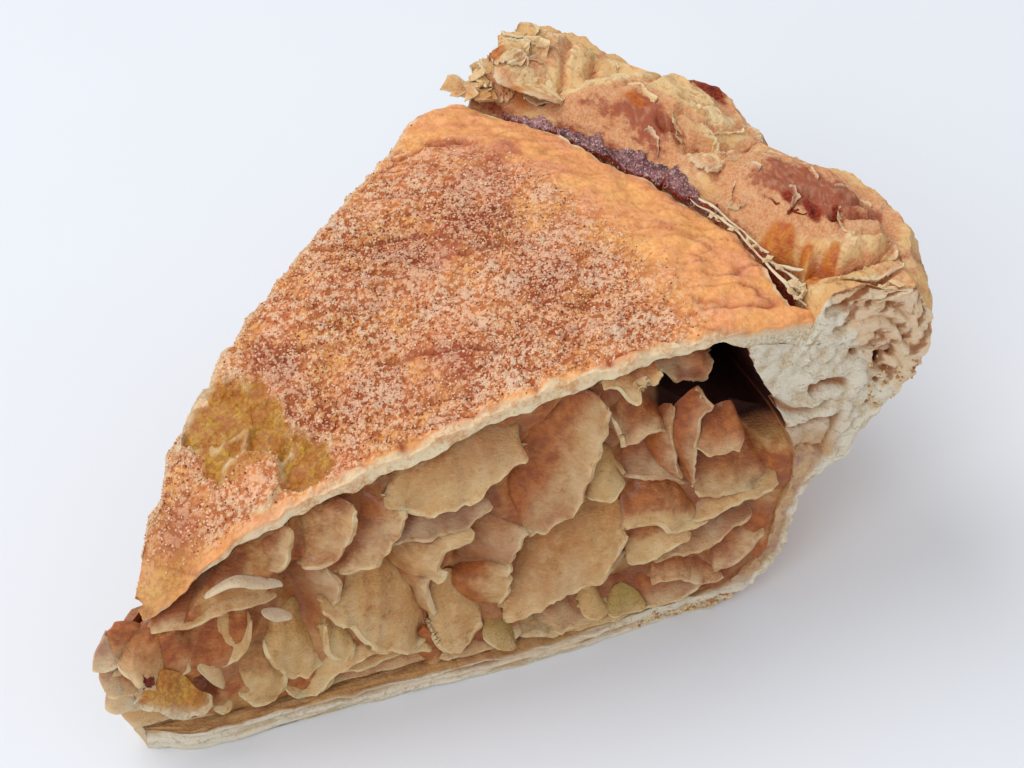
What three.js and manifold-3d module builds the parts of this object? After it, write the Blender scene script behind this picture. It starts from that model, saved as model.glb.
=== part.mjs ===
// A slice of deep apple pie: one eighth of a round pie, cut from its middle to its crimped rim.
// Millimetres, +Z up. The slice points along -X and its rim is at +X; it stands on its flat base.
// The pie's own middle, from which every radius is measured, lies on the X axis at PIE_MIDDLE_X.
// Angles are measured from that middle, from the X axis: the near cut face is at -Y, the far at +Y.

import * as THREE from "three";
import { ImprovedNoise } from "three/addons/math/ImprovedNoise.js";
import { mergeVertices } from "three/addons/utils/BufferGeometryUtils.js";
import Module from "manifold-3d";

const wasm = await Module();
wasm.setup();

const { degToRad, radToDeg, lerp, clamp, smoothstep, seededRandom } = THREE.MathUtils;

// Driving dimensions
const SLICE_ANGLE = degToRad(45);
const HALF_ANGLE = SLICE_ANGLE / 2;
const PIE_MIDDLE_X = -58.7;
const TIP = { width: 3, trueFrom: 40 };
const GAP = 0.35;

// The bottom crust's section, from the middle of the pie outwards: [radius, height] pairs.
// The two paths are the same length in points, and a point of one faces a point of the other.
const CRUST_UNDERSIDE = [
  [1.5, 0], [30, 0], [60, 0], [86, 0], [92.5, 2.6], [97, 6.8], [99.3, 12], [99.6, 18],
  [102, 23], [106.5, 26.6], [109.2, 32], [112.4, 36.4], [115.6, 39.6], [118, 42.8], [119.4, 46],
  [119.5, 49], [118.8, 52], [117, 54.6],
];
const CRUST_INSIDE = [
  [1.5, 3.7], [30, 3], [60, 3.1], [85, 3.6], [90.5, 5], [94.4, 8.2], [96.4, 13], [97, 18.6],
  [98.4, 24], [98, 30], [96, 35.6], [93.6, 41], [91, 46], [89.5, 50.8], [96.8, 50.1],
  [101, 55.4], [106.5, 57.4], [112.5, 56.8],
];
const WALL_POINTS = { first: 3, last: 12 };
const CRUST_STEPS = { along: 32, across: 24, through: 4, rimCrowding: 0.8 };

// The crimped rim: a roll of pastry with creases across it, where each lobe overlaps the next
const RIM = { innerRadius: 97, fullRadius: 102, middleRadius: 108, halfWidth: 11, foot: 36, top: 46 };
const CREASES = {
  angles: [14, -0.8, -20].map(degToRad),
  width: degToRad(2.2),
  depth: 3,
  slant: degToRad(3.5),
};
const LOBE = { swell: 1.6, outward: 0.4, upward: 0.8 };
const PASTRY_FLAKES = { depth: 0.7, size: 3.2, flatBelow: 2, fullAbove: 10 };
const FAR_END_TEAR = { depth: degToRad(1.6), start: 0.9 };

// How far the rim reaches out or stays back along its length: [degrees from the middle line, mm]
const RIM_REACH = [
  [-22.5, 0.2], [-17, -2], [-5, -2.4], [3, -0.8], [11, 2.6], [19, 2.6], [22.5, 1.6],
];

// Where the top crust has cracked away from the rim, a hole opens beside the near cut face
const CRACK_HOLE = { radius: 99.3, angle: degToRad(-17), width: 3.4, length: 6.5, depth: 5.5 };
const CRACK_LEDGE = { low: 44, high: 49 };
const CUT_FACE_RELIEF = { depth: 0.55, size: 3 };

// The top crust: a domed sheet whose height is given along its near and its far cut edge
const LID = { thickness: 2.7, tipSwell: 1.35, tipRadius: 3.4, endRadius: 96.4, endWave: 0.8 };
const NEAR_EDGE_HEIGHTS = [
  [2, 23.8], [6, 25.4], [10, 28], [13.5, 32.6], [19, 37.2], [25, 39.2], [36, 42.2], [46, 45.2],
  [53, 48], [60, 50.2], [73, 52.6], [82, 53.9], [89, 54.6], [97, 53.6],
];
const FAR_EDGE_HEIGHTS = [
  [2, 24], [6, 27], [10, 32], [19, 41.6], [29, 45.8], [39, 48.8], [48, 50.8], [58, 52.2],
  [68, 53.2], [78, 54.2], [88, 54.4], [97, 53.6],
];
const CROWN = { height: 1.6, start: 8, full: 45, fall: 75, end: 97 };
const DROOP = { end: 8, flat: 16 };
const LID_STEPS = { along: 34, across: 20, through: 1 };
const LID_RELIEF = { depth: 0.55, size: 9, start: 4, full: 14 };
const FAR_EDGE_TEETH = { depth: 1.5, count: 9, end: 62, start: 0.86 };
const FLAKED_SPOTS = [
  { radius: 24, angle: degToRad(8), size: 7.5, depth: 1 },
  { radius: 29, angle: degToRad(-12), size: 4.5, depth: 0.9 },
  { radius: 23, angle: degToRad(-8), size: 4.5, depth: -0.7 },
];

// The filling: a packed core with sliced apple showing at both cut faces
const FILLING = { floor: 3.6, coreInset: 2.2, sliceReach: 1.8, roofSlack: 0.9, tipSlack: 1.8 };
const FITTING_PASSES = 4;
const HOLLOW = { start: 73, depthAtRim: 16.5, shape: 0.6, shareAtFarFace: 0.4, pieceShare: 0.7 };
const ROWS = { count: 6, lowest: 7.5, spacing: 7.2, start: 10, end: 96, pieceSpacing: 20 };
const SCATTER = { along: 5, up: 2.5 };
const APPLE = {
  length: 26,
  width: 13,
  thickness: 4,
  bend: 4.5,
  wave: 0.8,
  waves: 5,
  thinEdge: 0.6,
  endTaper: 1.1,
};
const APPLE_STEPS = { along: 4, across: 1, through: 1 };
const TIP_PIECES = { size: { length: 9, width: 13 }, reach: 2.8, places: [[12, 0.2], [18, -0.15]] };
const RANDOM_SEED = 7;

const COLOURS = {
  bottom_crust: { color: 0xe0c59a, roughness: 0.75 },
  top_crust: { color: 0xd9905a, roughness: 0.7 },
  apple_filling: { color: 0xc79a62, roughness: 0.45 },
};

const noise = new ImprovedNoise();

function relief(x, y, z, size) {
  const coarse = noise.noise(x / size, y / size, z / size);
  const fine = noise.noise(2.3 * x / size + 9, 2.3 * y / size + 5, 2.3 * z / size + 2);
  return coarse + 0.5 * fine;
}

// The second value of a line given as pairs, at a first value
function valueAt(pairs, first) {
  let i = 1;
  while (i < pairs.length - 1 && pairs[i][0] < first) i += 1;
  const [start, startValue] = pairs[i - 1];
  const [end, endValue] = pairs[i];
  return lerp(startValue, endValue, clamp((first - start) / (end - start), 0, 1));
}

// A point of the slice from its radius, its angle and its height. The tip is blunt: the two
// faces are TIP.width apart there, and true to the cut again from TIP.trueFrom outwards.
function slicePoint(radius, angle, height) {
  const blunt = 0.5 * TIP.width * (angle / HALF_ANGLE) * (1 - smoothstep(radius, 0, TIP.trueFrom));
  return new THREE.Vector3(
    radius * Math.cos(angle) + PIE_MIDDLE_X,
    radius * Math.sin(angle) + blunt,
    height,
  );
}

// A closed solid made from a box whose points, each from 0 to 1 along three edges, are moved
// to where place() puts them. The first edge leads outwards, the second across, the third up.
function mappedBox({ along, across, through }, place) {
  const box = new THREE.BoxGeometry(1, 1, 1, along, across, through);
  const position = box.attributes.position;
  for (let i = 0; i < position.count; i += 1) {
    const point = place(position.getX(i) + 0.5, position.getY(i) + 0.5, position.getZ(i) + 0.5);
    position.setXYZ(i, point.x, point.y, point.z);
  }
  box.deleteAttribute("normal");
  box.deleteAttribute("uv");
  return mergeVertices(box, 1e-4);
}

function toSolid(geometry) {
  const mesh = new wasm.Mesh({
    numProp: 3,
    vertProperties: new Float32Array(geometry.attributes.position.array),
    triVerts: new Uint32Array(geometry.index.array),
  });
  return new wasm.Manifold(mesh);
}

// The outer shell of a joined solid: hollows that joining sealed are filled, loose scraps dropped
function outerShell(solid) {
  return solid.decompose().reduce((kept, shell) => (shell.volume() > kept.volume() ? shell : kept));
}

function toGeometry(solid) {
  const mesh = solid.getMesh();
  const geometry = new THREE.BufferGeometry();
  geometry.setAttribute("position", new THREE.BufferAttribute(mesh.vertProperties, 3));
  geometry.setIndex(new THREE.BufferAttribute(mesh.triVerts, 1));
  return geometry;
}

function namedMesh(name, geometry) {
  geometry.computeVertexNormals();
  const material = new THREE.MeshStandardMaterial({ ...COLOURS[name], metalness: 0 });
  const mesh = new THREE.Mesh(geometry, material);
  mesh.name = name;
  return mesh;
}

// Bottom crust with its crimped rim

function sectionCurve(pairs) {
  return new THREE.SplineCurve(pairs.map(([radius, height]) => new THREE.Vector2(radius, height)));
}

const underside = sectionCurve(CRUST_UNDERSIDE);
const inside = sectionCurve(CRUST_INSIDE);

// How far the roll rises or sinks at an angle: swollen lobes between sharp slanted creases
function lobeHeight(radius, angle) {
  const slanted = angle + CREASES.slant * (radius - RIM.middleRadius) / RIM.halfWidth;
  const nearest = Math.min(...CREASES.angles.map((crease) => Math.abs(slanted - crease)));
  const inCrease = Math.exp(-((nearest / CREASES.width) ** 2));
  const onLobe = smoothstep(nearest, 0, 3 * CREASES.width);
  return LOBE.swell * onLobe - CREASES.depth * inCrease;
}

function crackHoleDepth(radius, angle) {
  const across = (radius - CRACK_HOLE.radius) / CRACK_HOLE.width;
  const along = CRACK_HOLE.radius * (angle - CRACK_HOLE.angle) / CRACK_HOLE.length;
  return CRACK_HOLE.depth * (1 - smoothstep(Math.hypot(across, along), 0.4, 1));
}

// Pits and crumbs of the two cut faces, which stand in or out of the plane of the cut
function cutFaceRelief(v, radius, height) {
  if (v > 0 && v < 1) return 0;
  return (2 * v - 1) * CUT_FACE_RELIEF.depth * relief(radius, 7, height, CUT_FACE_RELIEF.size);
}

function crustPoint(u, v, w) {
  const section = underside.getPoint(u).lerp(inside.getPoint(u), w);
  const surface = Math.abs(2 * w - 1);
  const outOfLid = smoothstep(section.x, RIM.innerRadius, RIM.fullRadius);
  const onRim = outOfLid * smoothstep(section.y, RIM.foot, RIM.top);
  const baked = smoothstep(section.y, PASTRY_FLAKES.flatBelow, PASTRY_FLAKES.fullAbove);
  let angle = lerp(-HALF_ANGLE, HALF_ANGLE, v);
  const rough = relief(section.x, 100 * angle, section.y, PASTRY_FLAKES.size);
  const torn = onRim * smoothstep(v, FAR_END_TEAR.start, 1) * (0.5 + 0.5 * rough);
  angle -= FAR_END_TEAR.depth * torn;
  const swell = onRim * surface * lobeHeight(section.x, angle);
  const flake = baked * surface * PASTRY_FLAKES.depth * rough;
  const reach = onRim * valueAt(RIM_REACH, radToDeg(angle));
  const outerFlake = w < 0.5 ? 0.5 * flake : 0;
  const onLedge = w > 0.5 ? surface * smoothstep(section.y, CRACK_LEDGE.low, CRACK_LEDGE.high) : 0;
  const radius = section.x + reach + LOBE.outward * swell + outerFlake;
  const hole = onLedge * crackHoleDepth(section.x, angle);
  const height = section.y + LOBE.upward * swell + onRim * flake - hole;
  const point = slicePoint(radius, angle, Math.max(height, 0));
  point.y += cutFaceRelief(v, section.x, section.y);
  return point;
}

// Most of the steps along the section go to the wall and the rim
function bottomCrust() {
  const place = (u, v, w) => crustPoint(Math.pow(u, CRUST_STEPS.rimCrowding), v, w);
  return namedMesh("bottom_crust", mappedBox(CRUST_STEPS, place));
}

// Top crust

function lidHeight(radius, angle) {
  const share = clamp(0.5 + 0.5 * angle / HALF_ANGLE, 0, 1);
  const near = valueAt(NEAR_EDGE_HEIGHTS, radius);
  const far = valueAt(FAR_EDGE_HEIGHTS, radius);
  const rise = smoothstep(radius, CROWN.start, CROWN.full) * (1 - smoothstep(radius, CROWN.fall, CROWN.end));
  const crown = CROWN.height * 4 * share * (1 - share) * rise;
  return lerp(near, far, smoothstep(share, 0, 1)) + crown;
}

// The top crust is thicker where it droops over the tip
function lidThickness(radius) {
  return LID.thickness * lerp(LID.tipSwell, 1, smoothstep(radius, DROOP.end, DROOP.flat));
}

function flakedDepth(radius, angle) {
  let depth = 0;
  for (const spot of FLAKED_SPOTS) {
    const distance = Math.hypot(radius - spot.radius, radius * (angle - spot.angle));
    depth += spot.depth * (1 - smoothstep(distance, 0.6 * spot.size, spot.size));
  }
  return depth;
}

// The far cut edge is torn into teeth from the tip to about two thirds of its length
function farEdgeTooth(radius) {
  const along = radius / FAR_EDGE_TEETH.end;
  if (along > 1) return 0;
  const tooth = Math.abs(((along * FAR_EDGE_TEETH.count) % 1) - 0.5);
  return FAR_EDGE_TEETH.depth * 2 * tooth * (1 - along * along);
}

function lidPoint(u, v, w) {
  const angle = lerp(-HALF_ANGLE, HALF_ANGLE, v);
  const end = LID.endRadius + LID.endWave * noise.noise(30 * angle, 1.5, 4);
  const radius = lerp(LID.tipRadius, end, u);
  const wrinkled = smoothstep(radius, LID_RELIEF.start, LID_RELIEF.full);
  const bumps = LID_RELIEF.depth * wrinkled * relief(radius, 100 * angle, 3, LID_RELIEF.size);
  const top = w * (bumps - flakedDepth(radius, angle));
  const height = lidHeight(radius, angle) - (1 - w) * lidThickness(radius) + top;
  const point = slicePoint(radius, angle, height);
  point.y -= smoothstep(v, FAR_EDGE_TEETH.start, 1) * farEdgeTooth(radius);
  return point;
}

function topCrust() {
  return namedMesh("top_crust", mappedBox(LID_STEPS, lidPoint));
}

// Apple filling

// Under the crust by the rim the filling has sunk, which leaves a hollow that narrows to the far side
function sunkDepth(radius, angle) {
  const share = smoothstep(0.5 + 0.5 * angle / HALF_ANGLE, 0, 0.8);
  const opening = lerp(1, HOLLOW.shareAtFarFace, share);
  const towardsRim = clamp((radius - HOLLOW.start) / (LID.endRadius - HOLLOW.start), 0, 1);
  return opening * HOLLOW.depthAtRim * Math.pow(towardsRim, HOLLOW.shape);
}

// How high the filling may reach: just under the top crust, with more room over the tip
function roofHeight(radius, angle) {
  const slack = FILLING.roofSlack + FILLING.tipSlack * (1 - smoothstep(radius, DROOP.end, 20));
  return lidHeight(radius, angle) - lidThickness(radius) - slack;
}

function wallRadius(height) {
  const wall = CRUST_INSIDE.slice(WALL_POINTS.first, WALL_POINTS.last + 1);
  return valueAt(wall.map(([radius, z]) => [z, radius]), height);
}

// A block that fills the space inside the crust. faceOffset moves its two cut faces in or out,
// and sunk is the share of the hollow that is left out of it. The wall slopes and the roof is
// curved, so a point's height and radius depend on each other and are found in a few passes.
function fillingBlock(steps, faceOffset, sunk) {
  return toSolid(mappedBox(steps, (u, v, w) => {
    const side = 2 * v - 1;
    const angle = side * HALF_ANGLE;
    let radius = lerp(0, LID.endRadius, u);
    let height = FILLING.floor;
    for (let pass = 0; pass < FITTING_PASSES; pass += 1) {
      const roof = roofHeight(radius, angle) - GAP - sunk * sunkDepth(radius, angle);
      height = lerp(FILLING.floor + GAP, roof, w);
      radius = lerp(-faceOffset, wallRadius(height) - 2 * GAP, u);
    }
    const point = slicePoint(radius, angle, height);
    point.x -= faceOffset * Math.sin(HALF_ANGLE) * Math.abs(side);
    point.y += faceOffset * Math.cos(HALF_ANGLE) * side;
    return point;
  }));
}

// One slice of cooked apple: thick along its outer curve, thin along its inner edge, bent and wavy
function applePiece({ length, width, bend, phase }) {
  return mappedBox(APPLE_STEPS, (u, v, w) => {
    const side = 2 * u - 1;
    const taper = Math.sqrt(APPLE.endTaper - side * side);
    const thickness = APPLE.thickness * lerp(0.35, 1, taper) * lerp(1, APPLE.thinEdge, v);
    const wave = APPLE.wave * Math.sin(APPLE.waves * side + phase);
    return new THREE.Vector3(
      0.5 * length * side,
      width * lerp(0.25 * (1 - taper), 0.25 + 0.75 * taper, v),
      bend * (1 - side * side) + wave + thickness * (w - 0.5),
    );
  });
}

// A slice set into a cut face like a shingle: its thick edge out, its thin edge in and raised.
// side is -1 at the near face and +1 at the far one.
function shingle(piece, side, place, height, reach) {
  const along = new THREE.Vector3(-side * Math.cos(HALF_ANGLE), -Math.sin(HALF_ANGLE), 0);
  const inward = new THREE.Vector3(Math.sin(HALF_ANGLE), -side * Math.cos(HALF_ANGLE), 0);
  const frame = new THREE.Matrix4().makeBasis(along, inward, new THREE.Vector3(0, 0, 1));
  frame.multiply(new THREE.Matrix4().makeRotationY(side * piece.tilt));
  frame.multiply(new THREE.Matrix4().makeRotationX(piece.lean));
  const edge = slicePoint(place, side * HALF_ANGLE, height).addScaledVector(inward, -reach);
  return toSolid(applePiece(piece).applyMatrix4(frame).translate(edge.x, edge.y, edge.z));
}

// Lengths in mm, tilt along the face and lean out of it in radians
function drawPiece(random) {
  return {
    length: APPLE.length * lerp(0.75, 1.25, random()),
    width: APPLE.width * lerp(0.8, 1.2, random()),
    bend: APPLE.bend * lerp(-0.25, 0.75, random()),
    phase: 2 * Math.PI * random(),
    tilt: lerp(0.1, 0.55, random()),
    lean: lerp(0.15, 1, random()),
  };
}

// Rows of slices over one cut face, up to the roof and the hollow
function faceOfApple(side, random) {
  const solids = [];
  for (let row = 0; row < ROWS.count; row += 1) {
    const start = ROWS.start + (row % 2) * 0.5 * ROWS.pieceSpacing;
    for (let radius = start; radius < ROWS.end; radius += ROWS.pieceSpacing) {
      const piece = drawPiece(random);
      const place = radius + SCATTER.along * (random() - 0.5);
      const height = ROWS.lowest + row * ROWS.spacing + SCATTER.up * (random() - 0.5);
      const reach = FILLING.sliceReach * lerp(0.2, 1, random());
      const angle = side * HALF_ANGLE;
      const roof = roofHeight(place, angle) - HOLLOW.pieceShare * sunkDepth(place, angle);
      if (height < roof - 0.5 * APPLE.thickness) solids.push(shingle(piece, side, place, height, reach));
    }
  }
  return solids;
}

// Slices that stick out past the crust at the tip, from their heights and turns
function tipOfApple(random) {
  return TIP_PIECES.places.map(([height, turn]) => {
    const geometry = applePiece({ ...drawPiece(random), ...TIP_PIECES.size });
    geometry.rotateZ(-0.5 * Math.PI + turn);
    geometry.translate(PIE_MIDDLE_X - TIP_PIECES.reach, 0, height);
    return toSolid(geometry);
  });
}

function seededDraws(seed) {
  let draw = seed;
  return () => {
    draw += 1;
    return seededRandom(draw);
  };
}

function appleFilling() {
  const random = seededDraws(RANDOM_SEED);
  const core = fillingBlock({ along: 12, across: 4, through: 2 }, -FILLING.coreInset, 1);
  const space = fillingBlock({ along: 14, across: 2, through: 2 }, FILLING.sliceReach, 0.5);
  const pieces = [...faceOfApple(-1, random), ...faceOfApple(1, random), ...tipOfApple(random)];
  const slices = pieces.reduce((joined, piece) => joined.add(piece));
  const filling = outerShell(slices.intersect(space).add(core));
  return namedMesh("apple_filling", toGeometry(filling));
}

const group = new THREE.Group();
group.add(bottomCrust(), topCrust(), appleFilling());

export default group;
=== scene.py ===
"""One slice of deep apple pie: crusts, packed sliced apple, burnt juice, sugar, flakes and crumbs.

Shapes are worked out in millimetres and in the slice's own terms: a radius from the middle of the
whole pie, an angle across the slice (the near cut face is at -HALF_ANGLE, the far one at
+HALF_ANGLE) and a height above the surface that it stands on. A form becomes metres where its
mesh is made. Angles are in degrees where they are listed and in radians where they are used.
"""

import itertools

import bpy
import numpy as np
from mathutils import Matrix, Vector


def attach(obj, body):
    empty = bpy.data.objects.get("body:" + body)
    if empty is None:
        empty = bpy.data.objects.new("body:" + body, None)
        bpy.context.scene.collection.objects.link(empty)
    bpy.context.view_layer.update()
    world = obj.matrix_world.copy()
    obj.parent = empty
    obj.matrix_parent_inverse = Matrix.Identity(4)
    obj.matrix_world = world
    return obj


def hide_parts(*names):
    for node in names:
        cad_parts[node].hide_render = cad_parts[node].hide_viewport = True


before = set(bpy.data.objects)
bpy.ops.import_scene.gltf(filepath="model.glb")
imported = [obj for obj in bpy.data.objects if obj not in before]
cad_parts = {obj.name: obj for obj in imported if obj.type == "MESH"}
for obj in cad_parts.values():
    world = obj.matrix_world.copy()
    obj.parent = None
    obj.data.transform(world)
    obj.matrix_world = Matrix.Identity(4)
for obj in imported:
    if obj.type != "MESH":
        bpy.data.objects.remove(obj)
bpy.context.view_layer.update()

MM = 0.001

# The slice. Its sizes are the solids', but the top crust's tip is a little higher and thinner
HALF_ANGLE = np.radians(22.5)
PIE_MIDDLE_X = -58.7
TIP_WIDTH = 3
TIP_TRUE_FROM = 40
NEAR, FAR = -1, 1
UP = np.array([0, 0, 1.0])

# The bottom crust's section from the middle of the pie outwards, as (radius, height)
CRUST_UNDERSIDE = [
    (1.5, 0), (30, 0), (60, 0), (86, 0), (92.5, 2.6), (97, 6.8), (99.3, 12), (99.6, 18),
    (102, 23), (106.5, 26.6), (109.2, 32), (112.4, 36.4), (115.6, 39.6), (118, 42.8),
    (119.4, 46), (119.5, 49), (118.8, 52), (117, 54.6),
]
CRUST_INSIDE = [
    (1.5, 3.7), (30, 3), (60, 3.1), (85, 3.6), (90.5, 5), (94.4, 8.2), (96.4, 13), (97, 18.6),
    (98.4, 24), (98, 30), (96, 35.6), (93.6, 41), (91, 46), (89.5, 50.8), (96.8, 50.1),
    (101, 55.4), (106.5, 57.4), (112.5, 56.8),
]
WALL_POINTS = slice(3, 13)

# The crimped rim
RIM = {"inner": 97, "full": 102, "middle": 108, "half_width": 11, "foot": 36, "top": 46}
CREASES = {"angles": np.radians([14, -0.8, -20]), "width": np.radians(2.2), "depth": 3}
CREASE_SLANT = np.radians(3.5)
LOBE = {"swell": 1.6, "outward": 0.4, "upward": 0.8}
RIM_REACH = [
    (-22.5, -1.6), (-19.5, -1.2), (-17, 0.6), (-12, 1.6), (-5, 1.2), (-1, -1), (3, 2), (8, 3.6),
    (12, 3.4), (19, 2.4), (22.5, 0.6),
]
CRACK_HOLE = {"radius": 99.3, "angle": np.radians(-17), "width": 3.4, "length": 6.5, "depth": 5.5}

# The top crust
LID = {"thickness": 2.7, "tip_swell": 0.75, "tip_radius": 5, "end_radius": 96.2, "end_wave": 0.8}
NEAR_EDGE_HEIGHTS = [
    (2, 25.4), (6, 27), (10, 29.6), (13.5, 33.4), (19, 37.2), (25, 39.2), (36, 42.2), (46, 45.2),
    (53, 48), (60, 50.2), (73, 52.6), (82, 53.9), (89, 54.6), (97, 53.6),
]
FAR_EDGE_HEIGHTS = [
    (2, 25.6), (6, 28.4), (10, 32.8), (19, 41.6), (29, 45.8), (39, 48.8), (48, 50.8), (58, 52.2),
    (68, 53.2), (78, 54.2), (88, 54.4), (97, 53.6),
]
CROWN = {"height": 1.6, "start": 8, "full": 45, "fall": 75, "end": 97}
DROOP = {"end": 8, "flat": 16}

# The filling
FILLING_FLOOR = 3.6
HOLLOW = {"start": 73, "depth_at_rim": 16.5, "shape": 0.6, "share_at_far_face": 0.4}


# Numbers


def lerp(start, end, share):
    return start + (end - start) * share


def smoothstep(value, low, high):
    share = np.clip((value - low) / (high - low), 0, 1)
    return share * share * (3 - 2 * share)


def fading(value, low, high):
    """1 below low, 0 above high and smooth between them."""
    return 1 - smoothstep(value, low, high)


def bell(distance, width):
    """1 at a distance of 0, and almost 0 from twice the width on."""
    return np.exp(-((distance / width) ** 2))


def stacked(*coordinates):
    """Points from their coordinates. A single number holds for all of the points."""
    return np.stack(np.broadcast_arrays(*coordinates), axis=-1)


def from_ends(share):
    """How far a share from 0 to 1 is from the nearer end."""
    return np.minimum(share, 1 - share)


def value_at(pairs, first, spread=0.0):
    """The second value of a line given as pairs, at a first value, averaged over a spread."""
    known, values = np.array(pairs, float).T
    steps = np.linspace(-spread, spread, 5) if spread else [0.0]
    return sum(np.interp(first + step, known, values) for step in steps) / len(steps)


def spline(points, shares):
    """Places along a smooth curve through the points, each span of it taking the same share."""
    points = np.asarray(points, float)
    knots = np.vstack([points[0], points, points[-1]])
    along = np.clip(shares, 0, 1) * (len(points) - 1)
    span = np.minimum(along.astype(int), len(points) - 2)
    t = (along - span)[:, None]
    before, start, end, after = (knots[span + i] for i in range(4))
    leave, arrive = (end - before) / 2, (after - start) / 2
    bend = (2 * start - 2 * end + leave + arrive) * t**3
    lean = (3 * end - 3 * start - 2 * leave - arrive) * t**2
    return bend + lean + leave * t + start


LATTICE_SIZE = 32
LATTICE = np.random.default_rng(3).normal(size=(LATTICE_SIZE,) * 3 + (3,))
LATTICE /= np.linalg.norm(LATTICE, axis=-1, keepdims=True)


def noise(points, size, shift=0.0):
    """Smooth random values, mostly between -1 and 1, that change over a distance of size."""
    place = np.asarray(points, float) / size + shift
    cell = np.floor(place).astype(int)
    part = place - cell
    eased = part**3 * (part * (6 * part - 15) + 10)
    total = np.zeros(place.shape[:-1])
    for corner in itertools.product((0, 1), repeat=3):
        weight = np.prod(np.where(corner, eased, 1 - eased), axis=-1)
        x, y, z = np.moveaxis((cell + corner) % LATTICE_SIZE, -1, 0)
        total += weight * np.sum(LATTICE[x, y, z] * (part - corner), axis=-1)
    return 1.7 * total


def fractal(points, size, octaves=3, shift=0.0):
    """Noise with finer noise on it, each octave half the size and half as strong."""
    return sum(noise(points, size / 2**k, shift + 7.3 * k) / 2**k for k in range(octaves))


def terraces(points, size, shift=0.0, levels=(-0.35, -0.1, 0.15, 0.4), sharpness=0.05):
    """Peeled layers: flat terraces from 0 to 1, with their steps where the noise passes a level."""
    wavy = fractal(points, size, 3, shift)
    return sum(smoothstep(wavy, level, level + sharpness) for level in levels) / len(levels)


def spot(radius, angle, centre, centre_angle, reach, length=None):
    """How near a place is to a spot's centre, from 1 to 0. length is its reach along the rim."""
    across = (radius - centre) / reach
    along = radius * (angle - np.radians(centre_angle)) / (length or reach)
    return np.exp(-(across**2 + along**2))


# Forms


def slice_point(radius, angle, height):
    """A point from its radius, its angle and its height. The tip is blunt."""
    blunt = 0.5 * TIP_WIDTH * angle / HALF_ANGLE * fading(radius, 0, TIP_TRUE_FROM)
    x = radius * np.cos(angle) + PIE_MIDDLE_X
    y = radius * np.sin(angle) + blunt
    return stacked(x, y, height)


def face_inward(side):
    return np.array([np.sin(HALF_ANGLE), -side * np.cos(HALF_ANGLE), 0])


def face_edge(places, side, depth):
    """Points at (radius, height) places on a cut face, moved into the slice by a depth."""
    radius, height = np.array(places, float).T
    return slice_point(radius, side * HALF_ANGLE, height) + depth * face_inward(side)


def evenly(count):
    return np.linspace(0, 1, count + 1)


def crowded(count, ends=0.06):
    """Shares from 0 to 1 that lie closer together at both ends."""
    share = evenly(count)
    return share - ends * np.sin(2 * np.pi * share)


def closed_box(first, second, third):
    """Grid places on the surface of a box, with its shares along three edges, and its faces."""
    ids = np.arange(len(first) * len(second) * len(third))
    ids = ids.reshape(len(first), len(second), len(third))

    def side_faces(grid, flip):
        corners = [grid[:-1, :-1], grid[1:, :-1], grid[1:, 1:], grid[:-1, 1:]]
        return np.stack(corners[::-1] if flip else corners, axis=-1).reshape(-1, 4)

    faces = np.concatenate([
        side_faces(ids[:, :, 0], True), side_faces(ids[:, :, -1], False),
        side_faces(ids[:, 0, :], False), side_faces(ids[:, -1, :], True),
        side_faces(ids[0], True), side_faces(ids[-1], False),
    ])
    used, faces = np.unique(faces, return_inverse=True)
    grid = np.stack(np.meshgrid(first, second, third, indexing="ij"), axis=-1).reshape(-1, 3)
    return grid[used], faces.reshape(-1, 4)


SHARP_FROM = np.radians(55)


def linked(name, data):
    """A new object in the scene that shows the data."""
    made = bpy.data.objects.new(name, data)
    bpy.context.scene.collection.objects.link(made)
    return made


class Form:
    """Points in millimetres, faces as rows of point numbers, and named values of each point."""

    def __init__(self, points, faces, **values):
        self.points = points
        corners = points[faces]
        volume = np.einsum("ij,ij->", corners[:, 0], np.cross(corners[:, 1], corners[:, 2]))
        volume += np.einsum("ij,ij->", corners[:, 0], np.cross(corners[:, 2], corners[:, 3]))
        self.faces = faces if volume > 0 else faces[:, ::-1]
        self.values = {name: np.broadcast_to(value, len(points)) for name, value in values.items()}

    @classmethod
    def joined(cls, forms):
        starts = np.cumsum([0] + [len(form.points) for form in forms[:-1]])
        whole = cls.__new__(cls)
        whole.points = np.concatenate([form.points for form in forms])
        whole.faces = np.concatenate([form.faces + start for form, start in zip(forms, starts)])
        names = forms[0].values
        whole.values = {name: np.concatenate([form.values[name] for form in forms]) for name in names}
        return whole

    def piece(self, name, finish):
        """The form as a smooth-shaded mesh object in metres."""
        mesh = bpy.data.meshes.new(name)
        mesh.from_pydata((self.points * MM).tolist(), [], self.faces.tolist())
        for value_name, values in self.values.items():
            attribute = mesh.attributes.new(value_name, "FLOAT", "POINT")
            attribute.data.foreach_set("value", values.astype(np.float32))
        mesh.shade_smooth()
        mesh.set_sharp_from_angle(angle=SHARP_FROM)
        mesh.materials.append(finish)
        return linked(name, mesh)


class TopView:
    """The height of the highest of some forms, by place as seen from above."""

    CELL = 0.7
    REACH = 70

    def __init__(self, forms):
        points = np.concatenate([form.points for form in forms])
        size = int(2 * self.REACH / self.CELL)
        highest = np.zeros((size, size))
        np.maximum.at(highest, self.cells(points), points[:, 2])
        shifts = list(itertools.product((-1, 0, 1), repeat=2))
        filled = np.max([np.roll(highest, shift, (0, 1)) for shift in shifts], axis=0)
        filled = np.where(highest > 0, highest, filled)
        self.heights = np.mean([np.roll(filled, shift, (0, 1)) for shift in shifts], axis=0)

    def cells(self, points):
        return tuple(((points[:, :2] + self.REACH) / self.CELL).astype(int).T)

    def height(self, points):
        return self.heights[self.cells(points)]


# Node trees written as expressions


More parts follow.
